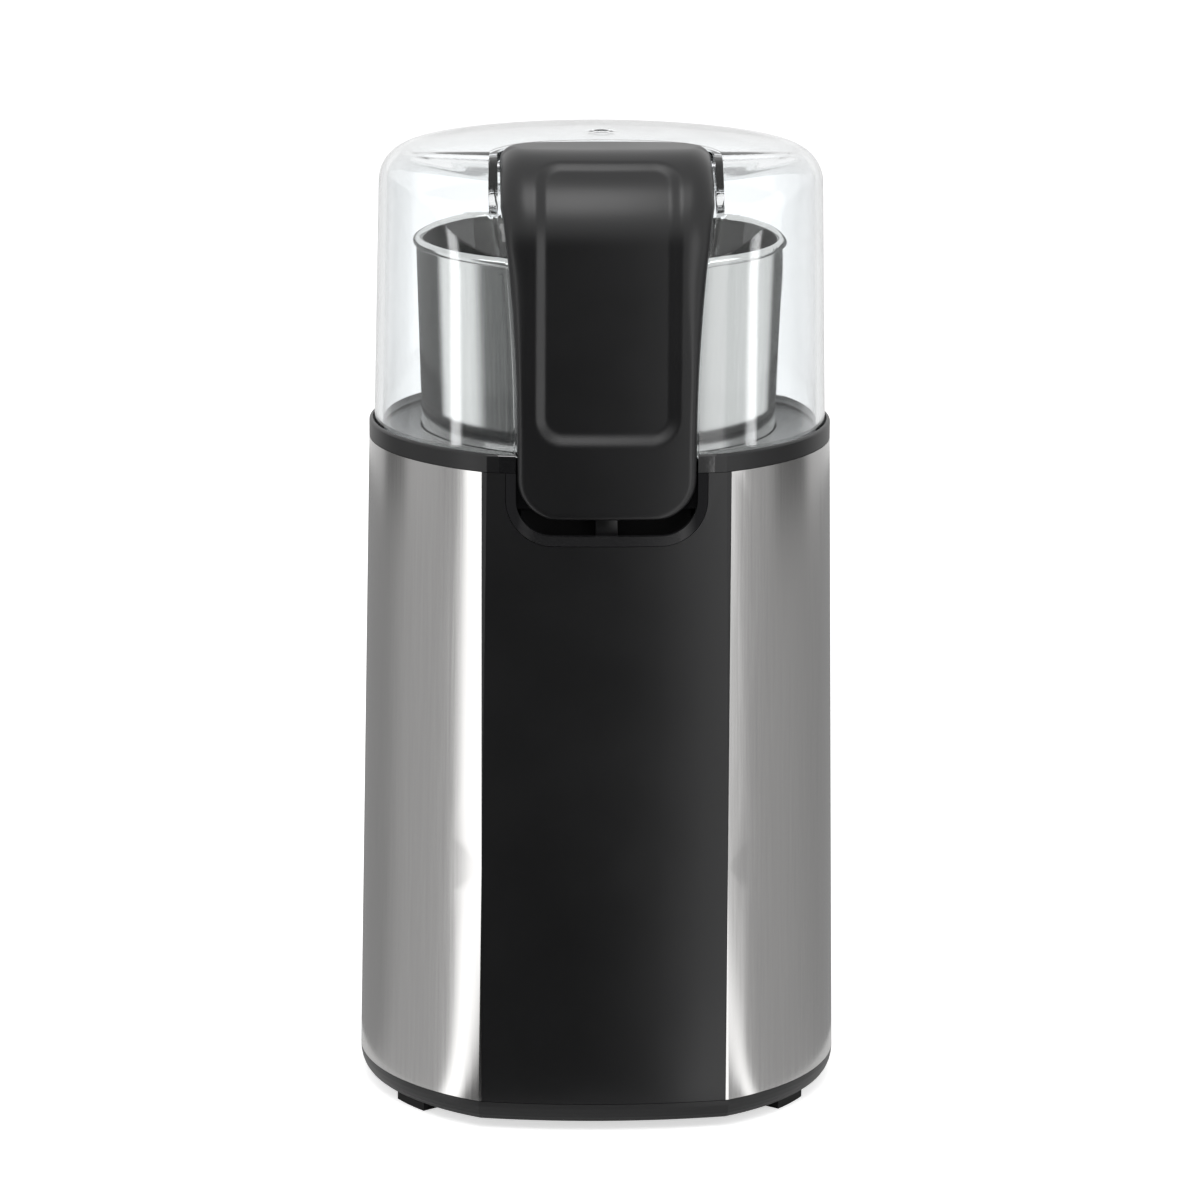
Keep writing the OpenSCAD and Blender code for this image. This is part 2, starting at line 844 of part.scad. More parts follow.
brush_len = 8;
module carbon_brushes() {
    color("#2f2f33")
        for (side = [0, 180])
            rotate([0, 0, side])
                difference() {
                    translate([0, -tube_w / 2 + tube_t + fit, brush_z - tube_h / 2 + tube_t + fit])
                        cube([comm_r + brush_len, tube_w - 2 * tube_t - 2 * fit,
                            tube_h - 2 * tube_t - 2 * fit]);
                    cylinder(r = comm_r + run_gap, h = stack_z);
                }
}

brush_wire_r = 0.25;
brush_spring_r = 2;
module brush_springs() {
    color(steel)
        for (side = [0, 180])
            rotate([0, 0, side])
                translate([comm_r + brush_len + brush_wire_r, 0, brush_z])
                    rotate([0, 90, 0])
                        coil(brush_spring_r, brush_wire_r, 5, tube_r0 + tube_len - comm_r - brush_len
                            - 2 * brush_wire_r);
}

cap_t = 1;
module brush_caps() {
    color("#b5a45c")
        for (side = [0, 180])
            rotate([0, 0, side])
                translate([tube_r0 + tube_len, -tube_w / 2, brush_z - tube_h / 2])
                    cube([cap_t, tube_w, tube_h]);
}

motor_screw_l = 52;
motor_head_r = 3.4;
motor_head_h = 2;
module motor_screws() {
    color(steel)
        for (y = [-1, 1])
            translate([0, y * column_y, bottom_plate_z])
                screw(motor_screw_r, motor_screw_l, motor_head_r, motor_head_h);
}

// Switch group under the pocket; the plunger's axis lies level with the lever's tab
plunger_z = notch_z + bezel_w + fit;
plunger_r = 2;
plunger_flange_r = 3.1;
plunger_flange_t = 1.2;
plunger_tail_r = 1.2;
tab_front_y = front_y(notch_z) - bezel_t - tab_gap;
tab_back_y = tab_front_y - tab_t;
press_arm = pivot_z - plunger_z;
press_travel = press_arm * sin(press_angle);
button_travel_share = 0.3;
button_travel = press_travel * button_travel_share;
plunger_front_y = tab_back_y - gap / 2;
carrier_front_y = pocket_back_y - pocket_wall;
carrier_t = 1.8;
flange_y = carrier_front_y - carrier_t - fit;
button_out = 1.6;
plunger_len = 8.6;
plunger_back_y = plunger_front_y - plunger_len;
switch_front_y = plunger_back_y - press_travel + button_travel - fit - button_out;
switch_w = 27;
switch_d = 12;
switch_h = 9;
switch_axis_h = 7;
switch_z = plunger_z - switch_axis_h;
carrier_w = 33;
carrier_screw_x = 13.5;
carrier_screw_y = 31.3;
carrier_boss_r = 3;
switch_screw_r = 1.2;
switch_head_r = 2.2;
switch_head_h = 1.2;
switch_screw_l = 5;
plate_z = switch_z - carrier_t - fit;
module switch_carrier() {
    color("#3c3c3c")
        difference() {
            union() {
                translate([-carrier_w / 2, -carrier_front_y, plate_z])
                    cube([carrier_w, carrier_front_y - switch_front_y + switch_d, carrier_t]);
                translate([-carrier_w / 2, -carrier_front_y, plate_z])
                    cube([carrier_w, carrier_t, pocket_z + pocket_open_h - gap - plate_z]);
                for (x = [-1, 1])
                    translate([x * carrier_screw_x, -carrier_screw_y, top_disc_z + top_disc_t])
                        cylinder(r = carrier_boss_r, h = plate_z + carrier_t - top_disc_z - top_disc_t);
            }
            for (x = [-1, 1])
                translate([x * carrier_screw_x, -carrier_screw_y, top_disc_z])
                    cylinder(r = switch_screw_r + run_gap, h = switch_z - top_disc_z + over);
            translate([0, -carrier_front_y - over, plunger_z])
                rotate([-90, 0, 0])
                    cylinder(r = plunger_r + run_gap, h = carrier_t + 2 * over);
            for (x = [-1, 1])
                translate([x * switch_screw_x, -switch_front_y + switch_d / 2, 0])
                    cylinder(r = switch_screw_r + run_gap, h = ring_z);
        }
}
switch_screw_x = 11;

module switch_screws() {
    color(steel)
        for (x = [-1, 1])
            translate([x * switch_screw_x, -switch_front_y + switch_d / 2, switch_z - carrier_t - fit])
                screw(switch_screw_r, switch_screw_l, switch_head_r, switch_head_h);
    color(steel)
        for (x = [-1, 1])
            translate([x * carrier_screw_x, -carrier_screw_y, plate_z + carrier_t])
                mirror([0, 0, 1])
                    screw(switch_screw_r, plate_z + carrier_t - top_disc_z - gap, switch_head_r,
                        switch_head_h);
}

button_r = 1.5;
module microswitch() {
    color("#202428")
        difference() {
            union() {
                translate([-switch_w / 2, -switch_front_y, switch_z])
                    cube([switch_w, switch_d, switch_h]);
                for (x = [-terminal_x, 0, terminal_x])
                    translate([x - terminal_w / 2, -switch_front_y + switch_d - over,
                        switch_z + switch_h / 3])
                        cube([terminal_w, terminal_l + over, terminal_t]);
            }
            translate([0, -switch_front_y - over, plunger_z])
                rotate([-90, 0, 0])
                    cylinder(r = button_r + run_gap, h = over + button_out + 2 * button_travel);
            for (x = [-1, 1])
                translate([x * switch_screw_x, -switch_front_y + switch_d / 2, switch_z - over])
                    cylinder(r = switch_screw_r + run_gap, h = switch_screw_l + over);
        }
}
terminal_x = 8;
terminal_w = 4;
terminal_l = 2.8;
terminal_t = 0.8;

module microswitch_button() {
    color("#b03a2e")
        translate([0, -switch_front_y - button_out, plunger_z])
            rotate([-90, 0, 0])
                cylinder(r = button_r, h = 2 * button_out);
}

module switch_plunger() {
    color("#1c1c1c")
        translate([0, 0, plunger_z])
            rotate([90, 0, 0]) {
                translate([0, 0, plunger_back_y])
                    cylinder(r = plunger_tail_r, h = plunger_front_y - plunger_back_y);
                translate([0, 0, flange_y - plunger_flange_t])
                    cylinder(r = plunger_flange_r, h = plunger_flange_t);
                translate([0, 0, flange_y - fit])
                    cylinder(r = plunger_r, h = plunger_front_y - flange_y + fit);
            }
}

plunger_wire_r = 0.25;
plunger_turns = 4;
module plunger_spring() {
    color(steel)
        translate([0, -flange_y + plunger_flange_t + plunger_wire_r + fit / 2, plunger_z])
            rotate([-90, 0, 0])
                coil(max(plunger_tail_r, button_r) + plunger_wire_r + gap, plunger_wire_r, plunger_turns,
                    flange_y - plunger_flange_t - switch_front_y - 2 * plunger_wire_r - fit);
}

// Electrical parts on the base cover
block_size = [22, 9, 9];
block_y = 30;
wire_hole_r = 1.4;
module terminal_block() {
    color("#d8d4c8")
        difference() {
            translate([-block_size[0] / 2, block_y - block_size[1] / 2 - clamp_gap, floor_z])
                cube(block_size);
            for (x = [-1, 0, 1])
                translate([x * block_size[0] / 3, block_y - clamp_gap - block_size[1],
                    floor_z + block_size[2] / 2])
                    rotate([-90, 0, 0])
                        cylinder(r = wire_hole_r, h = 2 * block_size[1]);
        }
}
clamp_gap = 4;

capacitor_size = [7, 18, 13];
capacitor_x = 33;
module capacitor() {
    color("#c9a227")
        translate([capacitor_x, 0, floor_z])
            rounded_box(capacitor_size, block_corner);
}
block_corner = 1;

// Cord inlet: flanged rubber grommet through jacket and housing
grommet_neck_r = 5;
grommet_flange_r = 7.5;
grommet_out = 2;
grommet_in = 2;
module cord_grommet() {
    wall_out = side_r(cord_z);
    wall_in = wall_out - jacket_t - fit - housing_t;
    flat = grommet_flange_r * grommet_flange_r / wall_out / 2;
    color("#262626")
        translate([0, 0, cord_z])
            rotate([-90, 0, 0])
                difference() {
                    union() {
                        translate([0, 0, wall_in - grommet_in])
                            cylinder(r = grommet_neck_r, h = wall_out + grommet_out - wall_in + grommet_in);
                        translate([0, 0, side_r(cord_z - grommet_flange_r) + fit])
                            cylinder(r1 = grommet_flange_r, r2 = grommet_neck_r + fit, h = grommet_out);
                        translate([0, 0, wall_in - flat - grommet_in])
                            cylinder(r = grommet_neck_r + fit + grommet_in / 2, h = grommet_in);
                    }
                    translate([0, 0, wall_in - flat - grommet_in - over])
                        cylinder(r = cord_r, h = 2 * ring_r);
                }
}

// Clamp that grips the cord behind the grommet, on two posts of the base cover
clamp_y = 34;
clamp_screw_x = 8;
clamp_z = 13;
clamp_post_r = 2.8;
clamp_screw_r = 1.3;
clamp_screw_l = 6;
clamp_d = 5;
clamp_h = 3;
module cord_clamp() {
    color("#1f1f1f")
        difference() {
            translate([-clamp_screw_x - clamp_post_r, clamp_y - clamp_d / 2, clamp_z])
                cube([2 * (clamp_screw_x + clamp_post_r), clamp_d, clamp_h]);
            for (x = [-1, 1])
                translate([x * clamp_screw_x, clamp_y, 0])
                    cylinder(r = clamp_screw_r + fit, h = ring_z);
            translate([0, clamp_y - clamp_d, cord_z])
                rotate([-90, 0, 0])
                    cylinder(r = cord_z - clamp_z - clamp_h / 2, h = 2 * clamp_d);
        }
}

clamp_head_r = 2.4;
clamp_head_h = 1.4;
module clamp_screws() {
    color(steel)
        for (x = [-1, 1])
            translate([x * clamp_screw_x, clamp_y, clamp_z + clamp_h])
                mirror([0, 0, 1])
                    screw(clamp_screw_r, clamp_h + clamp_screw_l - gap, clamp_head_r, clamp_head_h);
}

// Rotor group, all on one shaft
shaft_z = 12;
spacer_h = 2.4;
blade_z = cup_z + cup_t + hub_rise + seal_flange + spacer_h;
nut_h = 5.4;
nut_r = 6;
thread_share = 0.6;
module motor_shaft() {
    color(steel)
        translate([0, 0, shaft_z])
            cylinder(r = shaft_r, h = blade_z + blade_t + nut_h * thread_share - shaft_z);
}

slot_r = 2.2;
slot_mouth = 1.2;
module rotor_core() {
    color("#8a8a8a")
        translate([0, 0, stack_z])
            difference() {
                cylinder(r = rotor_r, h = stack_h);
                translate([0, 0, -over])
                    cylinder(r = shaft_r + run_gap, h = stack_h + 2 * over);
                for (i = [0:rotor_slots - 1])
                    rotate([0, 0, 360 * i / rotor_slots])
                        translate([rotor_r - slot_r - slot_mouth, 0, -over]) {
                            cylinder(r = slot_r, h = stack_h + 2 * over);
                            translate([0, -slot_mouth / 2, 0])
                                cube([slot_r + 2 * slot_mouth, slot_mouth, stack_h + 2 * over]);
                        }
            }
}

head_in_r = 5;
head_inset = 1.8;
head_out_r = rotor_r - head_inset;
module rotor_windings() {
    color("#a8612e")
        difference() {
            union() {
                for (z = [stack_z - winding_h, stack_z + stack_h + gap])
                    translate([0, 0, z])
                        tube(head_out_r - slot_r, head_in_r, winding_h - gap);
                for (i = [0:rotor_slots - 1])
                    rotate([0, 0, 360 * i / rotor_slots])
                        translate([rotor_r - slot_r - slot_mouth, 0, stack_z - winding_h])
                            cylinder(r = slot_r - fit, h = stack_h + 2 * winding_h);
            }
            cylinder(r = head_in_r, h = ring_z);
        }
}

comm_z = 40;
comm_h = 12;
slit_w = 0.5;
slit_depth = 0.8;
comm_bars = 18;
riser_h = 2.4;
module commutator() {
    color("#b5743a")
        translate([0, 0, comm_z])
            difference() {
                union() {
                    cylinder(r = comm_r, h = comm_h - riser_h / 2);
                    translate([0, 0, comm_h - riser_h])
                        cylinder(r = comm_r + slit_depth, h = riser_h);
                }
                translate([0, 0, -over])
                    cylinder(r = shaft_r + run_gap, h = comm_h + 2 * over);
                for (i = [0:comm_bars - 1])
                    rotate([0, 0, 360 * i / comm_bars])
                        translate([comm_r - slit_depth, -slit_w / 2, -over])
                            cube([2 * over + slit_depth, slit_w, comm_h - riser_h / 2]);
            }
}

fan_z = 14;
fan_h = 9;
fan_plate = 1.4;
fan_hub_r = 7;
vane_t = 1.4;
vane_steps = 6;
vane_sweep = 35;
module cooling_fan() {
    color("#2e2e2e")
        translate([0, 0, fan_z])
            difference() {
                union() {
                    translate([0, 0, fan_h - fan_plate])
                        cylinder(r = fan_r, h = fan_plate);
                    cylinder(r = fan_hub_r, h = fan_h + fan_plate);
                    for (i = [0:fan_blades - 1])
                        rotate([0, 0, 360 * i / fan_blades])
                            linear_extrude(fan_h - fan_plate / 2)
                                polygon(concat(
                                    [for (k = [0:vane_steps]) vane_point(k / vane_steps, 0)],
                                    [for (k = [vane_steps:-1:0]) vane_point(k / vane_steps, vane_t)]));
                }
                translate([0, 0, -over])
                    cylinder(r = shaft_r + run_gap, h = 2 * fan_h);
            }
}
function vane_point(share, side) =
    let (r = fan_hub_r - fan_plate + (fan_r - gap - fan_hub_r + fan_plate) * share, a = vane_sweep * share)
        [r * cos(a) - side * sin(a), r * sin(a) + side * cos(a)];

washer_t = 0.8;
washer_r = 5.2;
module thrust_washers() {
    color("#dadada")
        for (z = [bottom_bearing_z - washer_t - gap, top_bearing_z - washer_t - gap])
            translate([0, 0, z])
                tube(washer_r, shaft_r + run_gap, washer_t);
}

spacer_r = 5;
module blade_spacer() {
    color("#b08d57")
        translate([0, 0, cup_z + cup_t + hub_rise + seal_flange + gap])
            tube(spacer_r, shaft_r + run_gap, spacer_h - gap);
}

// Blade: flat middle with an eye, two arms raised at the ends and sharpened on one edge
blade_flat = 22;
edge_w = 2.5;
edge_share = 0.25;
module grinding_blade() {
    arm = blade_len / 2 - blade_flat / 2;
    color("#d2d2d2")
        translate([0, 0, blade_z])
            difference() {
                union() {
                    cylinder(r = blade_w / 2 + blade_t, h = blade_t);
                    translate([-blade_flat / 2 - blade_t / 4, -blade_w / 2, 0])
                        cube([blade_flat + blade_t / 2, blade_w, blade_t]);
                    for (side = [0, 180])
                        rotate([0, 0, side])
                            translate([blade_flat / 2, 0, 0])
                                rotate([0, -blade_lift, 0])
                                    rotate([90, 0, 90])
                                        linear_extrude(arm)
                                            polygon([[-blade_w / 2, 0], [blade_w / 2 - edge_w, 0],
                                                [blade_w / 2, blade_t * (1 - edge_share)],
                                                [blade_w / 2, blade_t], [-blade_w / 2, blade_t]]);
                }
                translate([0, 0, -over])
                    cylinder(r = shaft_r + run_gap, h = 2 * blade_t + over);
            }
}

module blade_nut() {
    color("#c0c0c0")
        translate([0, 0, blade_z + blade_t])
            difference() {
                intersection() {
                    cylinder(r = nut_r, h = nut_h, $fn = 6);
                    cylinder(r1 = nut_r + nut_h, r2 = nut_r * thread_share, h = nut_h + over);
                }
                translate([0, 0, -over])
                    cylinder(r = shaft_r + run_gap, h = nut_h * thread_share + over + fit);
            }
}

// Lid: a revolved shell cut by a bowed front that bends back near the top
shoulder_x = lid_top_r - shoulder_r;
dome_z = lid_top - dome_r;
shoulder_z = dome_z + sqrt(pow(dome_r - shoulder_r, 2) - pow(shoulder_x, 2));
dome_angle = asin(shoulder_x / (dome_r - shoulder_r));
arc_steps = 8;
module lid_round(inset) {
    foot = inset > 0 ? lid_z - over : lid_z;
    rotate_extrude()
        polygon(concat(
            [[0, foot], [lid_r - inset, foot]],
            [for (i = [0:arc_steps])
                let (a = (90 - dome_angle) * i / arc_steps)
                    [shoulder_x + (shoulder_r - inset) * cos(a), shoulder_z + (shoulder_r - inset) * sin(a)]],
            [for (i = [1:arc_steps])
                let (a = dome_angle * (1 - i / arc_steps))
                    [(dome_r - inset) * sin(a), dome_z + (dome_r - inset) * cos(a)]]));
}

// Flattened front of the lid: pairs of distance from the axis and height
face_bend_z = lid_z + face_bend_up;
face_end_y = face_y - face_lean - face_bend_y;
face_top = dome_z + sqrt(pow(dome_r, 2) - pow(face_end_y, 2));
face_bend_h = face_top - face_bend_z;
lid_bow_y = face_bow_r - face_y;
function face_line(inset) = concat(
    [[face_y - inset, lid_z - over]],
    bend_line(face_end_y, face_bend_z, face_bend_y - inset, face_bend_h - inset));
// A quarter of an ellipse, from upright to level
function bend_line(y, z, reach_y, reach_z) = [for (i = [0:arc_steps])
    let (a = 90 * i / arc_steps)
        [y + reach_y * cos(a), z + reach_z * sin(a)]];
module lid_front(inset) {
    translate([0, lid_bow_y, 0])
        rotate_extrude()
            polygon(concat(
                [[0, lid_z - over]],
                [for (p = face_line(inset)) [lid_bow_y + p[0], p[1]]],
                [[lid_bow_y + face_end_y, lid_top + over], [0, lid_top + over]]));
}

// Lever: its face line runs up the front, round the bend and back over the lid
tip_z = notch_z + bezel_w + tip_gap;
lever_bend_y = 15;
lever_bend_h = 17;
lever_back_y = lever_y - lever_bend_y;
lever_bend_z = lever_top - lever_bend_h;
half_bow = 15;
function lever_line(depth) = concat(
    [[lever_y - depth, tip_z - over]],
    bend_line(lever_back_y, lever_bend_z, lever_bend_y - depth, lever_bend_h - depth),
    [[lever_end_y - over, lever_top - depth]]);

// A band between two lines, turned about the axis of the bowed front
module bowed(outer, inner) {
    n = len(inner);
    translate([0, bow_y, 0])
        rotate([0, 0, -90 - half_bow])
            rotate_extrude(angle = 2 * half_bow)
                polygon(concat(
                    [for (p = outer) [bow_y + p[0], p[1]]],
                    [for (i = [1:n]) [bow_y + inner[n - i][0], inner[n - i][1]]]));
}

// Half width of the lever at a height
flare_z = ring_top;
function lever_half(z) = lever_w / 2 + lever_flare / 2 * pow(max(0, min(1, (z - flare_z)
    / (lever_bend_z + lever_bend_h / 2 - flare_z))), 2);
side_steps = 10;
module lever_outline(grow) {
    top = lever_top + 3 * over;
    foot = tip_z - grow;
    corner = tip_corner + grow;
    heights = [for (i = [0:side_steps]) flare_z + (lever_top - flare_z) * i / side_steps];
    polygon(concat(
        [for (i = [0:arc_steps])
            let (a = 90 * i / arc_steps)
                [-lever_w / 2 - grow + corner * (1 - sin(a)), foot + corner * (1 - cos(a))]],
        [for (z = heights) [-lever_half(z) - grow, z]],
        [[-lever_half(top) - grow, top], [lever_half(top) + grow, top]],
        [for (i = [0:side_steps]) [lever_half(heights[side_steps - i]) + grow, heights[side_steps - i]]],
        [for (i = [0:arc_steps])
            let (a = 90 - 90 * i / arc_steps)
                [lever_w / 2 + grow - corner * (1 - sin(a)), foot + corner * (1 - cos(a))]]));
}

// Everything in the lever's outline, seen from the front and from above
module lever_prism(grow) {
    half = (lever_w + lever_flare) / 2 + grow;
    intersection() {
        through_front(0)
            lever_outline(grow);
        translate([0, 0, tip_z - tip_corner])
            linear_extrude(lever_top - tip_z + 2 * tip_corner)
                union() {
                    translate([-half, -ring_r - over])
                        square([2 * half, ring_r + over - lever_end_y - end_corner]);
                    translate([-half + end_corner, -ring_r])
                        square([2 * (half - end_corner), ring_r - lever_end_y + grow]);
                    for (x = [-1, 1])
                        translate([x * (half - end_corner), -lever_end_y - end_corner + grow])
                            circle(r = end_corner);
                }
    }
}

// Channel of the lid in which the lever lies
channel_gap = 0.5;
channel_y = 39.2;
channel_depth = 7.6;
channel_floor_z = lever_top - channel_depth;
channel_bend_z = rim_z;
channel_wall = 1.3;
channel_back_y = 24;
function channel_line(inset) = concat(
    [[channel_y - inset, lid_z - 2 * over]],
    bend_line(channel_back_y, channel_bend_z, channel_y - channel_back_y - inset,
        channel_floor_z - channel_bend_z - inset),
    [[lever_end_y - end_corner, channel_floor_z - inset]]);
module channel(inset, grow) {
    far = [[ring_r + over, lid_z - 2 * over], [ring_r + over, lever_top + 2 * over],
        [lever_end_y - end_corner, lever_top + 2 * over]];
    intersection() {
        bowed(far, channel_line(inset));
        lever_prism(grow);
    }
}

pin_len = 44.8;
module pivot_rod(r, length) {
    translate([-length / 2, -pivot_y, pivot_z])
        rotate([0, 90, 0])
            cylinder(r = r, h = length);
}

module lid_shell() {
    color([0.93, 0.95, 0.96, 0.35])
        difference() {
            union() {
                intersection() {
                    lid_round(0);
                    lid_front(0);
                }
                intersection() {
                    channel(channel_wall, channel_gap + rib_w);
                    lid_round(-rib_h / 2);
                    lid_front(-rib_h);
                    translate([-ring_r, -ring_r, lid_z])
                        cube([2 * ring_r, 2 * ring_r, lid_h + rib_h]);
                }
            }
            difference() {
                intersection() {
                    lid_round(lid_t);
                    lid_front(lid_t);
                }
                channel(channel_wall, channel_gap + rib_w);
            }
            channel(0, channel_gap);
            pivot_rod(lever_pin_r + fit / 4, pin_len + fit);
        }
}

module lever_pin() {
    color(steel)
        pivot_rod(lever_pin_r, pin_len);
}

// Finger panel: a recess that follows the lever's face, let in by steps along its sloped edge
recess_foot = 14.7;
recess_end_y = 23.5;
recess_corner = 5;
recess_steps = 3;
module recess_cutter() {
    for (i = [1:recess_steps]) {
        inset = recess_bevel * (i - 1) / (recess_steps - 1);
        half = recess_w / 2 - inset;
        corner = recess_corner - inset / 2;
        foot = tip_z + recess_foot + inset;
        end_y = recess_end_y + inset;
        intersection() {
            bowed(lever_line(-over), lever_line(recess_depth * i / recess_steps));
            through_front(0)
                union() {
                    translate([-half, foot + corner])
                        square([2 * half, lever_top + 2 * over - foot - corner]);
                    translate([-half + corner, foot])
                        square([2 * (half - corner), corner + over]);
                    for (x = [-1, 1])
                        translate([x * (half - corner), foot + corner])
                            circle(r = corner);
                }
            translate([0, 0, foot - over])
                linear_extrude(lever_top + 3 * over - foot)
                    union() {
                        translate([-half - over, -ring_r])
                            square([2 * (half + over), ring_r - end_y - corner]);
                        translate([-half + corner, -ring_r])
                            square([2 * (half - corner), ring_r - end_y]);
                        for (x = [-1, 1])
                            translate([x * (half - corner), -end_y - corner])
                                circle(r = corner);
                    }
        }
    }
}

lug_x = 11;
lug_w = 2.4;
lug_r = 2.4;
tab_w = 4.3;
tab_drop = 4.6;
skirt_run = 8;
skirt_from_z = lever_bend_z - skirt_run;
module press_lever() {
    color("#1f1f1f")
        difference() {
            union() {
                intersection() {
                    bowed(lever_line(0), lever_line(lever_t));
                    lever_prism(0);
                }
                intersection() {
                    bowed(lever_line(lever_t / 2), lever_line(lever_skirt));
                    difference() {
                        lever_prism(0);
                        lever_prism(-lever_t);
                    }
                    translate([-ring_r, -ring_r, skirt_from_z])
                        cube([2 * ring_r, 2 * ring_r, ring_r]);
                }
                for (x = [-1, 1])
                    translate([x * (lug_x + lug_w / 2) - lug_w / 2, 0, 0]) {
                        translate([0, -pivot_y, pivot_z])
                            rotate([0, 90, 0])
                                cylinder(r = lug_r, h = lug_w);
                        translate([0, -pivot_y - lug_r, pivot_z])
                            cube([lug_w, 2 * lug_r, lever_top - lever_t / 2 - pivot_z]);
                    }
                translate([-tab_w / 2, -tab_front_y, tip_z - tab_drop])
                    cube([tab_w, tab_t, tab_drop + tip_corner]);
                translate([-tab_w / 2, -lever_y + lever_t / 2, tip_z])
                    cube([tab_w, lever_y - lever_t / 2 - tab_back_y, tip_corner]);
            }
            recess_cutter();
            pivot_rod(lever_pin_r + run_gap, pin_len);
        }
}

// Torsion spring round the pin: one leg under the lever's plate, one over the channel's floor
spring_wire_r = 0.3;
spring_turns = 5;
spring_len = 6;
spring_leg = 6;
leg_tilt = 11;
module lever_spring() {
    color(steel)
        translate([-spring_len / 2, -pivot_y, pivot_z])
            rotate([0, 90, 0])
                coil(lever_pin_r + spring_wire_r + fit, spring_wire_r,
                    spring_turns + (180 - 2 * leg_tilt) / 360, spring_len, leg_tilt, spring_leg);
}

base_cover();
rubber_feet();
base_screws();
inner_housing();
steel_jacket();
front_panel();
top_collar();
lever_guide();
grinding_cup();
cup_gasket();
cup_screws();
shaft_seal();
motor_top_bracket();
motor_bottom_bracket();
rubber_damper();
top_bearing();
bottom_bearing();
stator_core();
field_coils();
brush_tubes();
carbon_brushes();
brush_springs();
brush_caps();
motor_screws();
switch_carrier();
switch_screws();
microswitch();
microswitch_button();
switch_plunger();
plunger_spring();
terminal_block();
capacitor();
cord_grommet();
cord_clamp();
clamp_screws();
motor_shaft();
rotor_core();
rotor_windings();
commutator();
cooling_fan();
thrust_washers();
blade_spacer();
grinding_blade();
blade_nut();
lid_shell();
lever_pin();
press_lever();
lever_spring();
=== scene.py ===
"""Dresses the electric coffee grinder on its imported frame.

The frame's solids keep their places. Those whose form is right get a material. The press lever and the clear
lid are modelled again here with rounder edges and smoother curves, and stand in for their solids.
Sizes in the panel are in millimetres, as in the part's source; meshes are in metres.
"""

import json
import math

import bmesh
import bpy
from bpy.props import FloatProperty, IntProperty, PointerProperty
from bpy.types import Operator, Panel, PropertyGroup
from mathutils import Matrix, Vector


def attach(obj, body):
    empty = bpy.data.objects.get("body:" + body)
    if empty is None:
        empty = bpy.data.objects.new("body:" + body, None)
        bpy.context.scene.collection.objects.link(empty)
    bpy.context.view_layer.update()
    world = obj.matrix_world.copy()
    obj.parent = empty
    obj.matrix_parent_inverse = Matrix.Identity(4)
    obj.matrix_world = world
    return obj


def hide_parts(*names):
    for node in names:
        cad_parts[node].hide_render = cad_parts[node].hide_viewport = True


bl_info = {
    "name": "Coffee grinder",
    "version": (1, 0, 0),
    "blender": (4, 5, 0),
    "location": "3D View > Sidebar > Grinder",
    "description": "Dresses an electric coffee grinder on its packed frame",
    "category": "Object",
}

MM = 0.001
# From the part's source: the centre of the front's bow, the radius of the collar's deck, where the bezel's
# rounded front ends and the pocket begins, and how soon the gloss ends behind that
BOW_CENTRE_Y = 78.0
DECK_R = 45.25
BEZEL_Y = -41.4
BEZEL_FADE = 0.5
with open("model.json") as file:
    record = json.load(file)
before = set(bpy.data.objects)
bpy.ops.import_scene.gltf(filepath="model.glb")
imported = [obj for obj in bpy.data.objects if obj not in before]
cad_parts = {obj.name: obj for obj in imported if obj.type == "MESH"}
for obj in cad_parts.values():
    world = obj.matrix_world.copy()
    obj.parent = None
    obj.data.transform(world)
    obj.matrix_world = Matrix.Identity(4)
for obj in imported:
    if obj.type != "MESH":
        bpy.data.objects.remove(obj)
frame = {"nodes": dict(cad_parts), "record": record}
NODES = frame["nodes"]


# Colours and nodes


def linear(hex_colour):
    """An sRGB hex colour as a linear RGBA tuple."""
    channels = [int(hex_colour[i : i + 2], 16) / 255 for i in (1, 3, 5)]
    return tuple(c / 12.92 if c <= 0.04045 else ((c + 0.055) / 1.055) ** 2.4 for c in channels) + (1.0,)


def add_node(tree, kind, links=None, **settings):
    """A node of a kind, with its settings, input values and links from other nodes' sockets."""
    node = tree.nodes.new(kind)
    for name, value in settings.items():
        setattr(node, name, value)
    for name, source in (links or {}).items():
        socket = node.inputs[name]
        if isinstance(source, bpy.types.NodeSocket):
            tree.links.new(source, socket)
        else:
            socket.default_value = source
    return node


def new_material(name):
    """An empty node material with its output, as (material, tree, output)."""
    material = bpy.data.materials.new(name)
    material.use_nodes = True
    tree = material.node_tree
    tree.nodes.clear()
    return material, tree, add_node(tree, "ShaderNodeOutputMaterial")


def calculate(tree, operation, *values):
    """The result of a math node for its values or sockets."""
    return add_node(tree, "ShaderNodeMath", dict(enumerate(values)), operation=operation).outputs[0]


def between(tree, value, low, high, start=0.0, end=1.0):
    """A value that runs from low to high while another runs from start to end."""
    limits = {"From Min": start, "From Max": end, "To Min": low, "To Max": high}
    return add_node(tree, "ShaderNodeMapRange", {"Value": value, **limits}).outputs["Result"]


def mixed(tree, share, first, second):
    """The colour a share of the way from the first to the second."""
    return add_node(tree, "ShaderNodeMix", {"Factor": share, 6: first, 7: second}, data_type="RGBA").outputs[2]


def distance_out(tree, place):
    """Distance of a place from the object's upright axis."""
    flat = add_node(tree, "ShaderNodeVectorMath", {0: place, 1: (1, 1, 0)}, operation="MULTIPLY")
    return add_node(tree, "ShaderNodeVectorMath", {0: flat.outputs[0]}, operation="LENGTH").outputs["Value"]


def grey(value):
    """An opaque grey of a brightness."""
    return (value, value, value, 1)


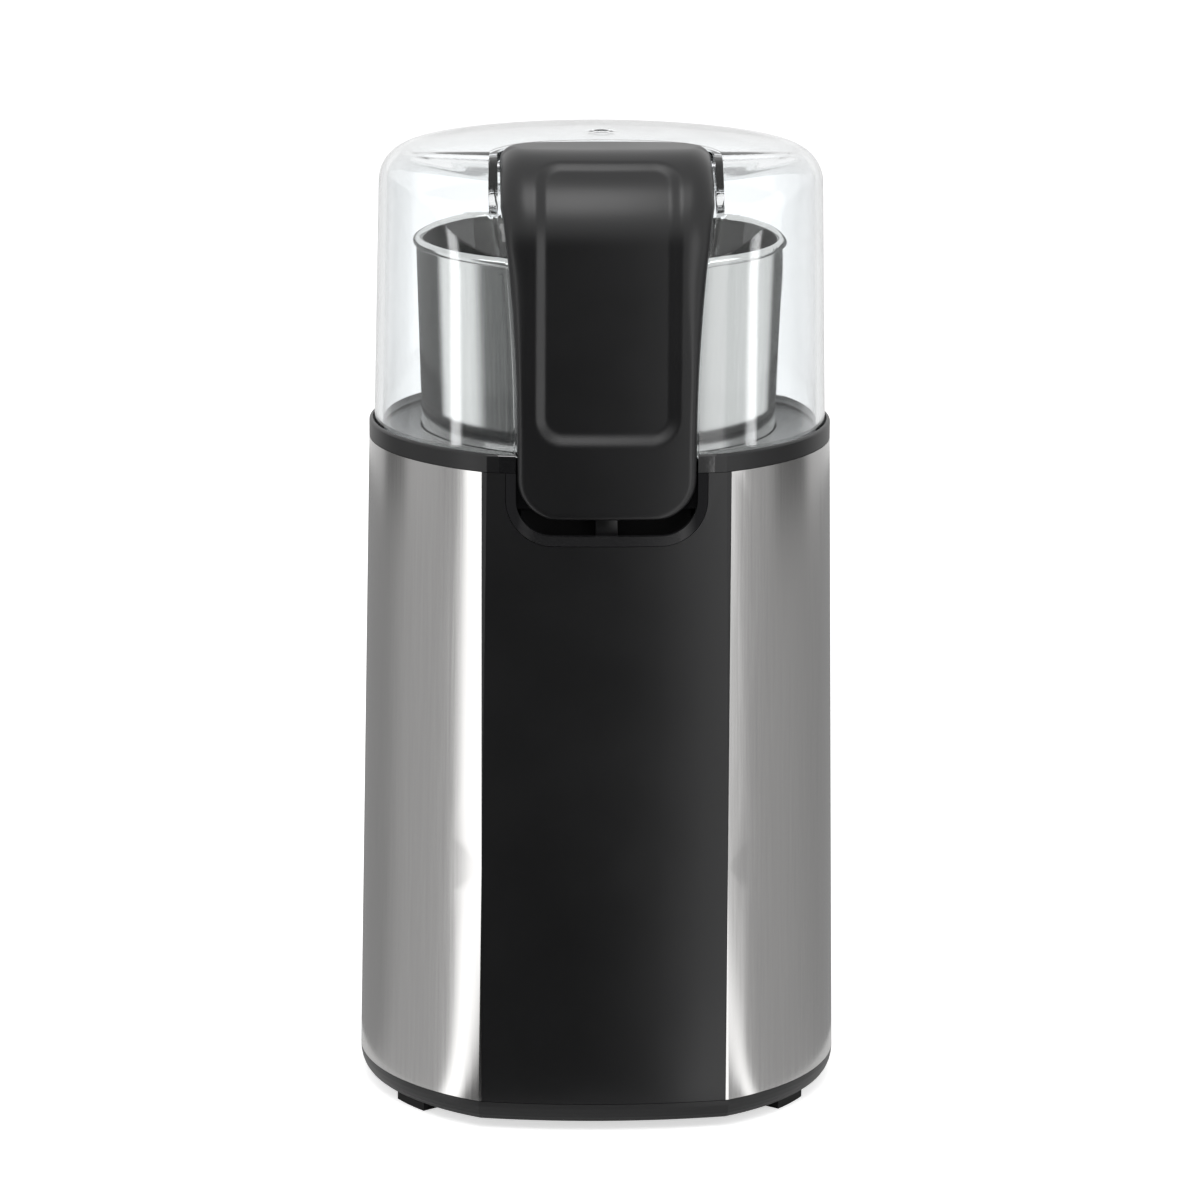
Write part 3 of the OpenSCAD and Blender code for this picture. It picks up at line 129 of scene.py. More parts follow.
def grain(tree, size_mm, stretch=(1, 1, 1), detail=2.0):
    """Noise whose features are a size in millimetres, drawn out along an axis by a stretch under 1."""
    place = add_node(tree, "ShaderNodeTexCoord").outputs["Object"]
    scaled = add_node(tree, "ShaderNodeMapping", {"Vector": place, "Scale": stretch})
    return add_node(
        tree,
        "ShaderNodeTexNoise",
        {"Vector": scaled.outputs["Vector"], "Scale": 1 / (size_mm * MM), "Detail": detail, "Roughness": 0.55},
    ).outputs["Fac"]


def relief(tree, height, strength, depth_mm):
    """The normal of a skin whose height varies by a depth in millimetres."""
    return add_node(
        tree, "ShaderNodeBump", {"Height": height, "Strength": strength, "Distance": depth_mm * MM}
    ).outputs["Normal"]


def surface_of(material):
    """The surface shader of a material."""
    return next(node for node in material.node_tree.nodes if node.type == "BSDF_PRINCIPLED")


# The sizes in millimetres of a moulding's flow marks and of the wear on clear plastic
FLOW_MM = 18.0
WEAR_MM = 9.0
# How much paler a moulding gets where it flowed, how much darker a metal in its lines, and how far those lines
# move its roughness either way
PALER = 1.25
DARKER = 0.86
LINE_SPREAD = 0.05
# The body's ABS: its colour, its roughness and how strongly it mirrors
ABS_BLACK = "#131314"
ABS_ROUGH = 0.36
ABS_SHINE = 0.45


def moulded(name, colour, roughness, spark_mm=0.5, spark_depth=0.02, wear=0.06, specular=0.5):
    """A moulded plastic or rubber: even colour, a fine spark-eroded skin and slight flow marks in its gloss."""
    material, tree, out = new_material(name)
    skin = grain(tree, spark_mm, detail=3.0)
    flow = grain(tree, FLOW_MM)
    paler = tuple(min(1.0, PALER * c) for c in linear(colour))
    shader = add_node(
        tree,
        "ShaderNodeBsdfPrincipled",
        {
            "Base Color": mixed(tree, flow, linear(colour), paler),
            "Roughness": between(tree, flow, roughness - wear, roughness + wear),
            "Specular IOR Level": specular,
            "Normal": relief(tree, skin, 0.35, spark_depth),
        },
    )
    tree.links.new(shader.outputs[0], out.inputs[0])
    return material


def worked_metal(name, colour, roughness, line_mm=0.4, stretch=(1, 1, 0.03), depth=0.01):
    """A bare metal with the lines that its working left, drawn out along the axis with the smallest stretch."""
    material, tree, out = new_material(name)
    lines = grain(tree, line_mm, stretch, detail=4.0)
    darker = tuple(DARKER * c for c in linear(colour)[:3]) + (1,)
    shader = add_node(
        tree,
        "ShaderNodeBsdfPrincipled",
        {
            "Base Color": mixed(tree, lines, darker, linear(colour)),
            "Metallic": 1.0,
            "Roughness": between(tree, lines, roughness - LINE_SPREAD, roughness + LINE_SPREAD),
            "Normal": relief(tree, lines, 0.5, depth),
        },
    )
    tree.links.new(shader.outputs[0], out.inputs[0])
    return material


def clear_plastic(name, colour, ior, roughness, worn_roughness=0.06):
    """A clear moulded plastic; shadow rays pass it, so that what it covers is lit as through a thin wall."""
    material, tree, out = new_material(name)
    wear = grain(tree, WEAR_MM, detail=5.0)
    shader = add_node(
        tree,
        "ShaderNodeBsdfPrincipled",
        {
            "Base Color": linear(colour),
            "Roughness": between(tree, wear, roughness, worn_roughness, 0.45, 0.75),
            "IOR": ior,
            "Transmission Weight": 1.0,
        },
    )
    open_air = add_node(tree, "ShaderNodeBsdfTransparent", {"Color": linear("#f4f6f6")})
    path = add_node(tree, "ShaderNodeLightPath")
    soft = calculate(tree, "MAXIMUM", path.outputs["Is Shadow Ray"], path.outputs["Is Diffuse Ray"])
    either = add_node(tree, "ShaderNodeMixShader", {0: soft, 1: shader.outputs[0], 2: open_air.outputs[0]})
    tree.links.new(either.outputs[0], out.inputs[0])
    return material


def collar_plastic():
    """Moulded ABS, satin on the collar's outside; its deck came from a polished insert and mirrors the bowl."""
    material = moulded("moulded_abs_collar", ABS_BLACK, ABS_ROUGH, specular=ABS_SHINE)
    tree, shader = material.node_tree, surface_of(material)
    reach = distance_out(tree, add_node(tree, "ShaderNodeTexCoord").outputs["Object"])
    inside = calculate(tree, "LESS_THAN", reach, DECK_R * MM)
    for socket, outer, deck in (("Roughness", ABS_ROUGH, 0.07), ("Specular IOR Level", ABS_SHINE, 1.0)):
        tree.links.new(between(tree, inside, outer, deck), shader.inputs[socket])
    return material


def guide_plastic():
    """Moulded ABS, glossy on the bezel's rounded front and matt from the spark-eroded tool inside the pocket."""
    material = moulded("moulded_abs_guide", "#1c1c1d", 0.24, specular=0.6)
    tree, shader = material.node_tree, surface_of(material)
    place = add_node(tree, "ShaderNodeTexCoord").outputs["Object"]
    depth = add_node(tree, "ShaderNodeSeparateXYZ", {0: place}).outputs[1]
    for socket, front, inside in (("Roughness", 0.2, 0.8), ("Specular IOR Level", 0.9, 0.0)):
        deep = between(tree, depth, front, inside, BEZEL_Y * MM, (BEZEL_Y + BEZEL_FADE) * MM)
        tree.links.new(deep, shader.inputs[socket])
    return material


# Finishes, one for each of the record's slots


def finishes():
    """The slots' materials."""
    return {
        # ABS, moulded in a spark-eroded tool: soft satin black with a broad dim highlight
        "black_abs": moulded("moulded_abs", ABS_BLACK, ABS_ROUGH, specular=ABS_SHINE),
        # EPDM, moulded: dull, with almost no highlight
        "rubber": moulded("moulded_epdm", "#1e1e1e", 0.78, 0.8, 0.04, specular=0.3),
        # Nitrile rubber, moulded: dull brown
        "brown_rubber": moulded("moulded_nitrile", "#4a3028", 0.7, 0.8, 0.04, specular=0.3),
        # Steel wire and screws, zinc plated: pale grey, slightly clouded
        "screw_steel": worked_metal("zinc_plated_steel", "#c3c4c6", 0.34, 0.9, (1, 1, 1), 0.006),
        # 18/0 stainless sheet, brushed upright: long fine lines and broad upright bands of light
        "brushed_steel": worked_metal("brushed_stainless", "#cbcac9", 0.19, 0.5, (1, 1, 0.012), 0.0035),
        # 18/8 stainless sheet, deep drawn and polished: clear dark and pale reflections
        "bowl_steel": worked_metal("drawn_stainless", "#e4e4e2", 0.13, 0.5, (1, 1, 0.012), 0.003),
        # Glass-filled nylon, moulded: flat dark grey
        "grey_nylon": moulded("filled_nylon", "#4a4b4e", 0.6, 0.6, 0.03),
        # Bronze, sintered: warm, matt and finely pitted
        "bronze": worked_metal("sintered_bronze", "#a67c52", 0.5, 0.3, (1, 1, 1), 0.03),
        # Electrical steel, stamped and stacked: dark, with a line for each sheet
        "lamination": worked_metal("stacked_laminations", "#6f7073", 0.5, 0.7, (0.01, 0.01, 1), 0.08),
        # Copper wire, enamelled and wound: warm brown with a line for each turn
        "copper_wire": worked_metal("enamelled_copper", "#a8622f", 0.36, 0.6, (0.05, 0.05, 1), 0.12),
        # Copper bar, turned: bright and warm
        "copper_bar": worked_metal("turned_copper", "#c07a4b", 0.28, 0.3, (0.05, 0.05, 1), 0.01),
        # Brass sheet, rolled: yellow, fairly bright
        "brass": worked_metal("rolled_brass", "#b9a15e", 0.3, 0.5, (1, 1, 0.1), 0.008),
        # Carbon, pressed: black with a faint shine
        "carbon": moulded("pressed_carbon", "#1a1a1c", 0.5, 0.4, 0.02),
        # Nylon, moulded red
        "red_nylon": moulded("red_nylon", "#9c2418", 0.45),
        # Nylon, moulded in its own ivory colour
        "ivory_nylon": moulded("natural_nylon", "#d6cfbd", 0.5),
        # Polypropylene case, moulded yellow and glossy
        "yellow_box": moulded("capacitor_case", "#cf9d1d", 0.25),
        # SAN, moulded clear: hard, bright reflections and dark edges where light is turned away
        "clear_san": clear_plastic("clear_san", "#f7f9fa", 1.49, 0.012),
    }


MATERIALS = {}


def finish_of(slot):
    """The material of a slot; all are made when the first is asked for."""
    if not MATERIALS:
        MATERIALS.update(finishes())
    return MATERIALS[slot]


def put_on(obj, material):
    """Gives an object one material."""
    obj.data.materials.clear()
    obj.data.materials.append(material)


# Meshes


def new_object(name, mesh):
    """An object in the scene for a bmesh, which is used up."""
    data = bpy.data.meshes.new(name)
    mesh.to_mesh(data)
    mesh.free()
    obj = bpy.data.objects.new(name, data)
    bpy.context.scene.collection.objects.link(obj)
    return obj


def add_piece(name, mesh, body, slot, nodes=(), smooth=35):
    """An object for a bmesh, smooth but for edges past an angle, that rides on a body and stands for CAD nodes."""
    obj = new_object(name, mesh)
    for face in obj.data.polygons:
        face.use_smooth = True
    obj.data.set_sharp_from_angle(angle=math.radians(smooth))
    put_on(obj, finish_of(slot))
    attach(obj, body)
    if nodes:
        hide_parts(*nodes)
    return obj


def made_vertices(made):
    """The vertices that an extrusion made."""
    return [item for item in made["geom"] if isinstance(item, bmesh.types.BMVert)]


def turned(profile, steps):
    """A mesh made by turning a profile of (radius, height) once round the upright axis."""
    mesh = bmesh.new()
    points = [mesh.verts.new((0, -r, z)) for r, z in profile]
    edges = [mesh.edges.new(pair) for pair in zip(points, points[1:])]
    bmesh.ops.spin(
        mesh, geom=points + edges, axis=(0, 0, 1), cent=(0, 0, 0), steps=steps, angle=2 * math.pi, use_merge=True
    )
    return mesh


def ease(low, high, value):
    """0 below low, 1 above high, and a smooth rise between."""
    t = max(0.0, min(1.0, (value - low) / (high - low)))
    return t * t * (3 - 2 * t)


def rounded_distance(x, y, half_x, half_y, corner):
    """Distance inside a rounded rectangle's outline from a point; negative outside."""
    px, py = abs(x) - (half_x - corner), abs(y) - (half_y - corner)
    return corner - math.hypot(max(px, 0), max(py, 0)) - min(max(px, py), 0)


# The lever's centre line, from the part's source: tip height, face distance, bend and rear end
TIP_Z = 123.3
FACE_Y = 43.0
BEND_Z = 176.4
BEND_REACH_Y = 15.0
BEND_REACH_Z = 17.0
BEND_STEPS = 48
END_Y = 16.0
# Width at the tip, how much it grows, and the heights between which it does
LEVER_WIDTH = 34.6
LEVER_FLARE = 6.4
FLARE_Z = 136.0
FLARE_END_Z = 184.9
# Where the recessed finger panel ends, from the tip and from the rear end
RECESS_TO_TIP = 14.7
RECESS_TO_END = 18.5
# The rounded edge grows between these heights, and shrinks again over this run to the rear end
EDGE_GROWS_Z = (148, 182)
EDGE_RUN = (2, 16)
# Half length of the rectangle whose one end stands for the lever's outline; the other lies out of reach
FAR_END = 60
# The side wall behind the rounded edge: how far it goes back at the tip, how much more at the top, and where that
# grows, from the bend
SKIRT = 0.3
SKIRT_GROWTH = 0.8
SKIRT_RUN = (-8, 4)
# The pressed lever's turn, the air that it keeps in the lid's channel, the least depth that it is given, and how
# much more room the channel has over this run from its bend
PRESS_DEGREES = 2
PRESS_AIR = 0.75
LEAST_ROOM = 1.5
BEND_ROOM = 1.5
ROOM_RUN = (2, 14)
# The rear end: over this last run its sides, at this half width, curve forward by this depth
REAR_RUN = 14
REAR_BOW = 1.6
REAR_HALF = 20.5


class LeverSizes(PropertyGroup):
    """Sizes of the press lever, in millimetres."""

    tip_width: FloatProperty(name="Tip width", description="Width at the tip", default=LEVER_WIDTH, min=30, max=38)
    flare: FloatProperty(name="Flare", description="How much wider the top is", default=LEVER_FLARE, min=0, max=9)
    tip_corner: FloatProperty(name="Tip corner", description="Corner radius of the tip", default=8, min=3, max=12)
    end_corner: FloatProperty(name="End corner", description="Corner radius of the rear end", default=9.5, min=3)
    edge: FloatProperty(name="Edge", description="Radius of the rounded edge at the tip", default=1.5, min=0.5)
    top_edge: FloatProperty(name="Top edge", description="Radius of the side edge at the top", default=4.8, min=1)
    wall: FloatProperty(name="Wall", description="Thickness of the plate", default=1.1, min=0.8, max=1.2)
    recess_width: FloatProperty(name="Recess width", description="Width over the sloped edge", default=28, min=20)
    recess_slope: FloatProperty(name="Recess slope", description="Width of the sloped edge", default=2.2, min=1)
    recess_depth: FloatProperty(name="Recess depth", description="Depth of the panel", default=0.85, min=0.2)
    recess_corner: FloatProperty(name="Recess corner", description="Corner radius of the recess", default=5.5)
    rows: IntProperty(name="Rows", description="Mesh rows along the lever", default=190, min=60, max=300)
    columns: IntProperty(name="Columns", description="Mesh columns across the lever", default=104, min=40, max=200)


class LidSizes(PropertyGroup):
    """Sizes of the clear lid, in millimetres."""

    wall: FloatProperty(name="Wall", description="Thickness of the lid's wall", default=1.6, min=1, max=1.7)
    corner: FloatProperty(name="Corner", description="Blend of the front corners", default=3, min=0.5, max=6)
    rib_width: FloatProperty(name="Rib width", description="Width of the ribs by the lever", default=1.5, min=1)
    rib_height: FloatProperty(name="Rib height", description="Height of those ribs", default=1.2, min=0.5)


class GrinderSettings(PropertyGroup):
    """All settings of the grinder."""

    lever: PointerProperty(type=LeverSizes)
    lid: PointerProperty(type=LidSizes)


def lever_path():
    """Points and outward normals along the lever's centre line, as (length, y, z, normal y, normal z)."""
    points = [(-FACE_Y, TIP_Z, -1.0, 0.0), (-FACE_Y, BEND_Z, -1.0, 0.0)]
    for i in range(1, BEND_STEPS + 1):
        a = math.pi / 2 * i / BEND_STEPS
        y = -(FACE_Y - BEND_REACH_Y + BEND_REACH_Y * math.cos(a))
        z = BEND_Z + BEND_REACH_Z * math.sin(a)
        normal = Vector((-math.cos(a) / BEND_REACH_Y, math.sin(a) / BEND_REACH_Z)).normalized()
        points.append((y, z, normal.x, normal.y))
    points.append((-END_Y, BEND_Z + BEND_REACH_Z, 0.0, 1.0))
    path, length = [], 0.0
    for i, point in enumerate(points):
        if i:
            length += math.dist(point[:2], points[i - 1][:2])
        path.append((length,) + point)
    return path


def along(path, length):
    """The path's point and normal at a length."""
    for near, far in zip(path, path[1:]):
        if length <= far[0]:
            break
    share = (length - near[0]) / (far[0] - near[0])
    return [a + (b - a) * share for a, b in zip(near[1:], far[1:])]


def spread(v):
    """Draws evenly spaced mesh lines from -1 to 1 together towards both ends."""
    return v * (1.25 - 0.25 * v * v)


def flare_share(z):
    """Share of the lever's growth in width at a height."""
    return max(0.0, min(1.0, (z - FLARE_Z) / (FLARE_END_Z - FLARE_Z))) ** 2


def corner_half(half, run, corner):
    """Half width at a distance from an end whose corners have a radius."""
    return half if run >= corner else half - corner + math.sqrt(max(0.0, corner**2 - (corner - run) ** 2))


def slope_share(t):
    """Share of the recess's depth across its sloped edge, eased at both ends."""
    t = max(0.0, min(1.0, t))
    return 0.75 * t + 0.25 * t * t * (3 - 2 * t)


def roll_off(radius, distance):
    """How far a rounded edge of a radius falls away at a distance from the outline."""
    if distance >= radius:
        return 0.0
    return radius - math.sqrt(max(0.0, radius**2 - (radius - max(distance, 0.0)) ** 2))


def lever_room(z):
    """Depth that the lever may have at a height and still clear the lid's channel when it is pressed."""
    swing = math.sin(math.radians(PRESS_DEGREES)) * (PIVOT[1] - z)
    behind = ease(*ROOM_RUN, z - CHANNEL_BEND_Z)
    return max(LEAST_ROOM, FACE_Y - CHANNEL_Y - PRESS_AIR - swing + BEND_ROOM * behind)


def skirt_drop(z):
    """How far the lever's side wall goes back from its rounded edge at a height."""
    return SKIRT + SKIRT_GROWTH * ease(*SKIRT_RUN, z - BEND_Z)


def skin_depth(sizes, x, z, full, length, total):
    """How far the lever's skin lies under its outermost face: its finger panel and its rounded edge."""
    recess_high = total - RECESS_TO_END
    from_recess = rounded_distance(
        x,
        length - (RECESS_TO_TIP + recess_high) / 2,
        sizes.recess_width / 2,
        (recess_high - RECESS_TO_TIP) / 2,
        sizes.recess_corner,
    )
    from_edge = min(
        rounded_distance(x, length - FAR_END, full, FAR_END, sizes.tip_corner),
        rounded_distance(x, total - length - FAR_END, full, FAR_END, sizes.end_corner),
    )
    growth = ease(*EDGE_GROWS_Z, z) * ease(*EDGE_RUN, total - length)
    radius = sizes.edge + (sizes.top_edge - sizes.edge) * growth
    depth = sizes.recess_depth * slope_share(from_recess / sizes.recess_slope)
    return depth + roll_off(radius, from_edge) * min(1.0, (lever_room(z) - skirt_drop(z)) / radius)


def bowed_point(x, y, z, length, total):
    """A point of the lever's flat layout, laid on the bowed front; the rear end curves the other way."""
    bowed_y = BOW_CENTRE_Y - math.sqrt((BOW_CENTRE_Y - y) ** 2 - x**2)
    rear = ease(total - REAR_RUN, total, length)
    rear_y = y - REAR_BOW * (x / REAR_HALF) ** 2
    return Vector((x, bowed_y + (rear_y - bowed_y) * rear, z)) * MM


def lever_form(sizes):
    """The lever's outer skin with its side wall, as an open sheet; a modifier gives it its thickness."""
    path = lever_path()
    total = path[-1][0]
    mesh = bmesh.new()
    bmesh.ops.create_grid(mesh, x_segments=sizes.columns, y_segments=sizes.rows, size=1.0)
    rim = [edge for edge in mesh.edges if edge.is_boundary]
    for vert in mesh.verts:
        length = total * (1 + spread(vert.co.y)) / 2
        y, z, normal_y, normal_z = along(path, length)
        full = (sizes.tip_width + sizes.flare * flare_share(z)) / 2
        half = min(
            corner_half(full, length, sizes.tip_corner), corner_half(full, total - length, sizes.end_corner)
        )
        x = half * spread(vert.co.x)
        depth = skin_depth(sizes, x, z, full, length, total)
        vert.co = bowed_point(x, y - depth * normal_y, z - depth * normal_z, length, total)
    wall = bmesh.ops.extrude_edge_only(mesh, edges=rim)
    for vert in made_vertices(wall):
        z = vert.co.z / MM
        drop = skirt_drop(z)
        lean = ease(BEND_Z, BEND_Z + BEND_REACH_Z, z)
        vert.co += Vector((0, drop * (1 - lean), -drop * lean)) * MM
    bmesh.ops.recalc_face_normals(mesh, faces=mesh.faces)
    outward = max(mesh.faces, key=lambda face: -face.calc_center_median().y)
    if outward.normal.y > 0:
        bmesh.ops.reverse_faces(mesh, faces=mesh.faces)
    return mesh


class GRINDER_OT_press_lever(Operator):
    """Press lever: a bowed plate bent over the lid, with a rounded edge and a recessed finger panel"""

    bl_idname = "grinder.press_lever"
    bl_label = "Press lever"

    def execute(self, context):
        sizes = context.scene.grinder.lever
        plate = add_piece("lever_plate", lever_form(sizes), "lever", "black_abs", ("press_lever",), smooth=50)
        shell = plate.modifiers.new("wall", "SOLIDIFY")
        shell.thickness = sizes.wall * MM
        shell.offset = -1
        shell.use_even_offset = False
        add_piece("lever_tab", tab_form(), "lever", "black_abs")
        for side, name in ((-1, "left"), (1, "right")):
            add_piece("lever_lug_" + name, lug_form(side), "lever", "black_abs")
        return {"FINISHED"}


# The tab that pushes the switch plunger, and the lugs that turn on the pin, from the part's source
TAB_WIDTH = 4.3
TAB_OUTLINE = [(-39.31, 118.7), (-40.21, 118.7), (-40.21, 124.4), (-42.1, 124.9), (-42.1, 131.3), (-39.31, 131.3)]
PIVOT = (-21.0, 188.9)
LUG_IN, LUG_OUT = 11.0, 13.4
LUG_R = 2.4
LUG_TOP = 3.6
LUG_STEPS = 48
PIN_HOLE_R = 1.025
TAB_EDGE = 0.2


def tab_form():
    """The tab: an outline seen from the side, as wide as the plunger's slot, with its edges broken."""
    mesh = bmesh.new()
    face = mesh.faces.new([mesh.verts.new((-TAB_WIDTH / 2 * MM, y * MM, z * MM)) for y, z in TAB_OUTLINE])
    made = bmesh.ops.extrude_face_region(mesh, geom=[face])
    bmesh.ops.translate(mesh, vec=(TAB_WIDTH * MM, 0, 0), verts=made_vertices(made))
    bmesh.ops.recalc_face_normals(mesh, faces=mesh.faces)
    bmesh.ops.bevel(
        mesh, geom=mesh.edges[:], affect="EDGES", offset=TAB_EDGE * MM, segments=2, profile=0.5, material=-1
    )
    return mesh


def lug_form(side):
    """A lug: a round ear about the pin's hole, grown up into the plate."""
    mesh = bmesh.new()
    rings = []
    for x in (side * LUG_IN, side * LUG_OUT):
        outer, inner = [], []
        for i in range(LUG_STEPS):
            a = 2 * math.pi * i / LUG_STEPS
            reach = LUG_R
            if math.sin(a) > 0:
                reach = min(LUG_R / max(abs(math.cos(a)), 1e-6), LUG_TOP / math.sin(a))
            for ring, radius in ((outer, reach), (inner, PIN_HOLE_R)):
                y, z = PIVOT[0] + radius * math.cos(a), PIVOT[1] + radius * math.sin(a)
                ring.append(mesh.verts.new((x * MM, y * MM, z * MM)))
        rings.append((outer, inner))
    (near_out, near_in), (far_out, far_in) = rings
    for i in range(LUG_STEPS):
        j = (i + 1) % LUG_STEPS
        for ring, other in ((near_out, near_in), (far_out, far_in), (near_out, far_out), (near_in, far_in)):
            mesh.faces.new((ring[i], ring[j], other[j], other[i]))
    bmesh.ops.recalc_face_normals(mesh, faces=mesh.faces)
    return mesh


# The lid, from the part's source: foot, wall, shoulder, dome and flattened front
LID_FOOT_Z = 134.9
LID_TOP_Z = 193.1
SHOULDER_X = 37.0
SHOULDER_R = 7.0
LID_R = 45.0
LID_DRAFT = 1.0
DOME_R = 260.0
FRONT_BOW_Y = 36.5
FRONT_Y = 40.5
FRONT_LEAN = 1.2
FRONT_BEND_Z = 167.9
FRONT_BEND_REACH = 14.0
FRONT_END_Y = FRONT_Y - FRONT_LEAN - FRONT_BEND_REACH
CHANNEL_Y = 39.2
CHANNEL_BACK_Y = 24.0
CHANNEL_BEND_Z = 172.6
CHANNEL_TOP_Z = 185.8
CHANNEL_WALL = 1.3
CHANNEL_GAP = 0.5
CHANNEL_CORNER = 9.0
# How far the block that cuts the channel reaches outwards and below the lid's foot, and how much sooner it widens
# than the lever on the bend, for each radian
CHANNEL_REACH = 16
CHANNEL_BELOW = 1
CHANNEL_LEAD = 5
# The gate mark, where the plastic came in: where it begins, then a low ring round a shallow dimple
GATE_R = 2.5
GATE_RING = [(2.4, 0.0), (2.1, 0.12), (1.5, 0.12), (1.2, -0.06), (0.0, -0.06)]
# Mesh steps: up the side, round the shoulder, over the dome and once round; then the channel's, up and round its
# bend, to its rear end and across
WALL_STEPS, SHOULDER_STEPS, DOME_STEPS, ROUND_STEPS = 26, 18, 44, 288
CHANNEL_STEPS, CHANNEL_END_STEPS, CHANNEL_COLUMNS = 24, 12, 20
# The front is flattened along lines from the lid's axis, or from this height on it. A line is searched to this
# many times its length, in this many halvings. It is left alone if even a share further on is this far inside.
LID_MIDDLE_Z = 150.0
SEARCH_REACH = 1.6
SEARCH_STEPS = 22
LOOK_ON = 0.25
WELL_INSIDE = 6
# How sharply the ribs' front is blended, and how far the hollow's blank reaches below the open foot
RIB_BLEND = 1.0
HOLLOW_BELOW = 2
# Passes that even out the mesh after that, above the foot and outside the gate mark
SMOOTH_PASSES = 3
SMOOTH_ABOVE = 1
SMOOTH_OUTSIDE = 3


def shoulder_z():
    """Height of the shoulder's centre, where its arc runs into the dome."""
    return LID_TOP_Z - DOME_R + math.sqrt((DOME_R - SHOULDER_R) ** 2 - SHOULDER_X**2)


def lid_profile(inset, foot_z, gate):
    """Radius and height up the lid's side, round its shoulder and in over its dome."""
    profile = []
    for i in range(WALL_STEPS + 1):
        rise = (shoulder_z() - foot_z) * i / WALL_STEPS
        profile.append((LID_R - inset - LID_DRAFT * i / WALL_STEPS, foot_z + rise))
    turn = math.asin(SHOULDER_X / (DOME_R - SHOULDER_R))
    for i in range(1, SHOULDER_STEPS + 1):
        a = (math.pi / 2 - turn) * i / SHOULDER_STEPS
        reach = SHOULDER_R - inset
        profile.append((SHOULDER_X + reach * math.cos(a), shoulder_z() + reach * math.sin(a)))
    for i in range(1, DOME_STEPS + 1):
        a = turn * (1 - i / DOME_STEPS)
        profile.append(((DOME_R - inset) * math.sin(a), LID_TOP_Z - DOME_R + (DOME_R - inset) * math.cos(a)))
    if gate:
        while profile[-1][0] < GATE_R:
            profile.pop()
        profile += [(r, LID_TOP_Z + height) for r, height in GATE_RING]
    return profile


def front_room(point, inset):
    """How far a point lies outside the lid's flattened front; negative inside."""
    rise = min(1.0, (point.z - FRONT_BEND_Z) / (front_top_z() - FRONT_BEND_Z - inset))
    if point.y > 0:
        return -point.y - LID_R
    if rise > 0:
        face = FRONT_END_Y + (FRONT_BEND_REACH - inset) * math.sqrt(1 - rise**2)
    else:
        face = FRONT_Y - inset - FRONT_LEAN * (point.z - LID_FOOT_Z) / (FRONT_BEND_Z - LID_FOOT_Z)
    return math.hypot(point.x, point.y - FRONT_BOW_Y) - (FRONT_BOW_Y + face)


def front_top_z():
    """Height at which the flattened front runs into the dome."""
    return LID_TOP_Z - DOME_R + math.sqrt(DOME_R**2 - FRONT_END_Y**2)


def front_share(middle, way, inset):
    """The share of a line from the lid's middle at which it meets the flattened front."""
    low, high = 0.0, SEARCH_REACH
    for _ in range(SEARCH_STEPS):
        half = (low + high) / 2
        if front_room(middle + way * half, inset) > 0:
            high = half
        else:
            low = half
    return low


def lid_blank(inset, foot_z, blend, gate=False, front_inset=None):
    """A closed solid with the lid's outer form, its front flattened with corners rounded by a blend length."""
    mesh = turned([(0.0, foot_z)] + lid_profile(inset, foot_z, gate), ROUND_STEPS)
    bmesh.ops.remove_doubles(mesh, verts=mesh.verts, dist=0.001)
    front_inset = inset if front_inset is None else front_inset
    for vert in mesh.verts:
        middle = Vector((0, 0, min(vert.co.z, LID_MIDDLE_Z)))
        way = vert.co - middle
        reach = way.length
        if reach < 1e-6 or front_room(vert.co + way * LOOK_ON, front_inset) < -WELL_INSIDE:
            continue
        there = front_share(middle, way, front_inset) * reach
        near = max(0.0, blend - abs(reach - there)) / blend
        vert.co = middle + way * ((min(reach, there) - near**2 * blend / 4) / reach)
    upper = [
        vert
        for vert in mesh.verts
        if vert.co.z > foot_z + SMOOTH_ABOVE and math.hypot(vert.co.x, vert.co.y) > SMOOTH_OUTSIDE
    ]
    for _ in range(SMOOTH_PASSES):
        bmesh.ops.smooth_vert(mesh, verts=upper, factor=0.5, use_axis_x=True, use_axis_y=True, use_axis_z=True)
    bmesh.ops.recalc_face_normals(mesh, faces=mesh.faces)
    return mesh


def channel_line(inset, end_y):
    """The channel's floor seen from the side, as (y, z, angle of the bend), from the foot to the rear end."""
    reach_y, reach_z = CHANNEL_Y - CHANNEL_BACK_Y - inset, CHANNEL_TOP_Z - CHANNEL_BEND_Z - inset
    line = []
    for i in range(CHANNEL_STEPS):
        rise = (CHANNEL_BEND_Z - LID_FOOT_Z + CHANNEL_BELOW) * i / CHANNEL_STEPS
        line.append((-(CHANNEL_Y - inset), LID_FOOT_Z - CHANNEL_BELOW + rise, 0.0))
    for i in range(CHANNEL_STEPS + 1):
        a = math.pi / 2 * i / CHANNEL_STEPS
        line.append((-(CHANNEL_BACK_Y + reach_y * math.cos(a)), CHANNEL_BEND_Z + reach_z * math.sin(a), a))
    for i in range(1, CHANNEL_END_STEPS + 1):
        back = (CHANNEL_BACK_Y - end_y) * i / CHANNEL_END_STEPS
        line.append((-CHANNEL_BACK_Y + back, CHANNEL_TOP_Z - inset, math.pi / 2))
    return line


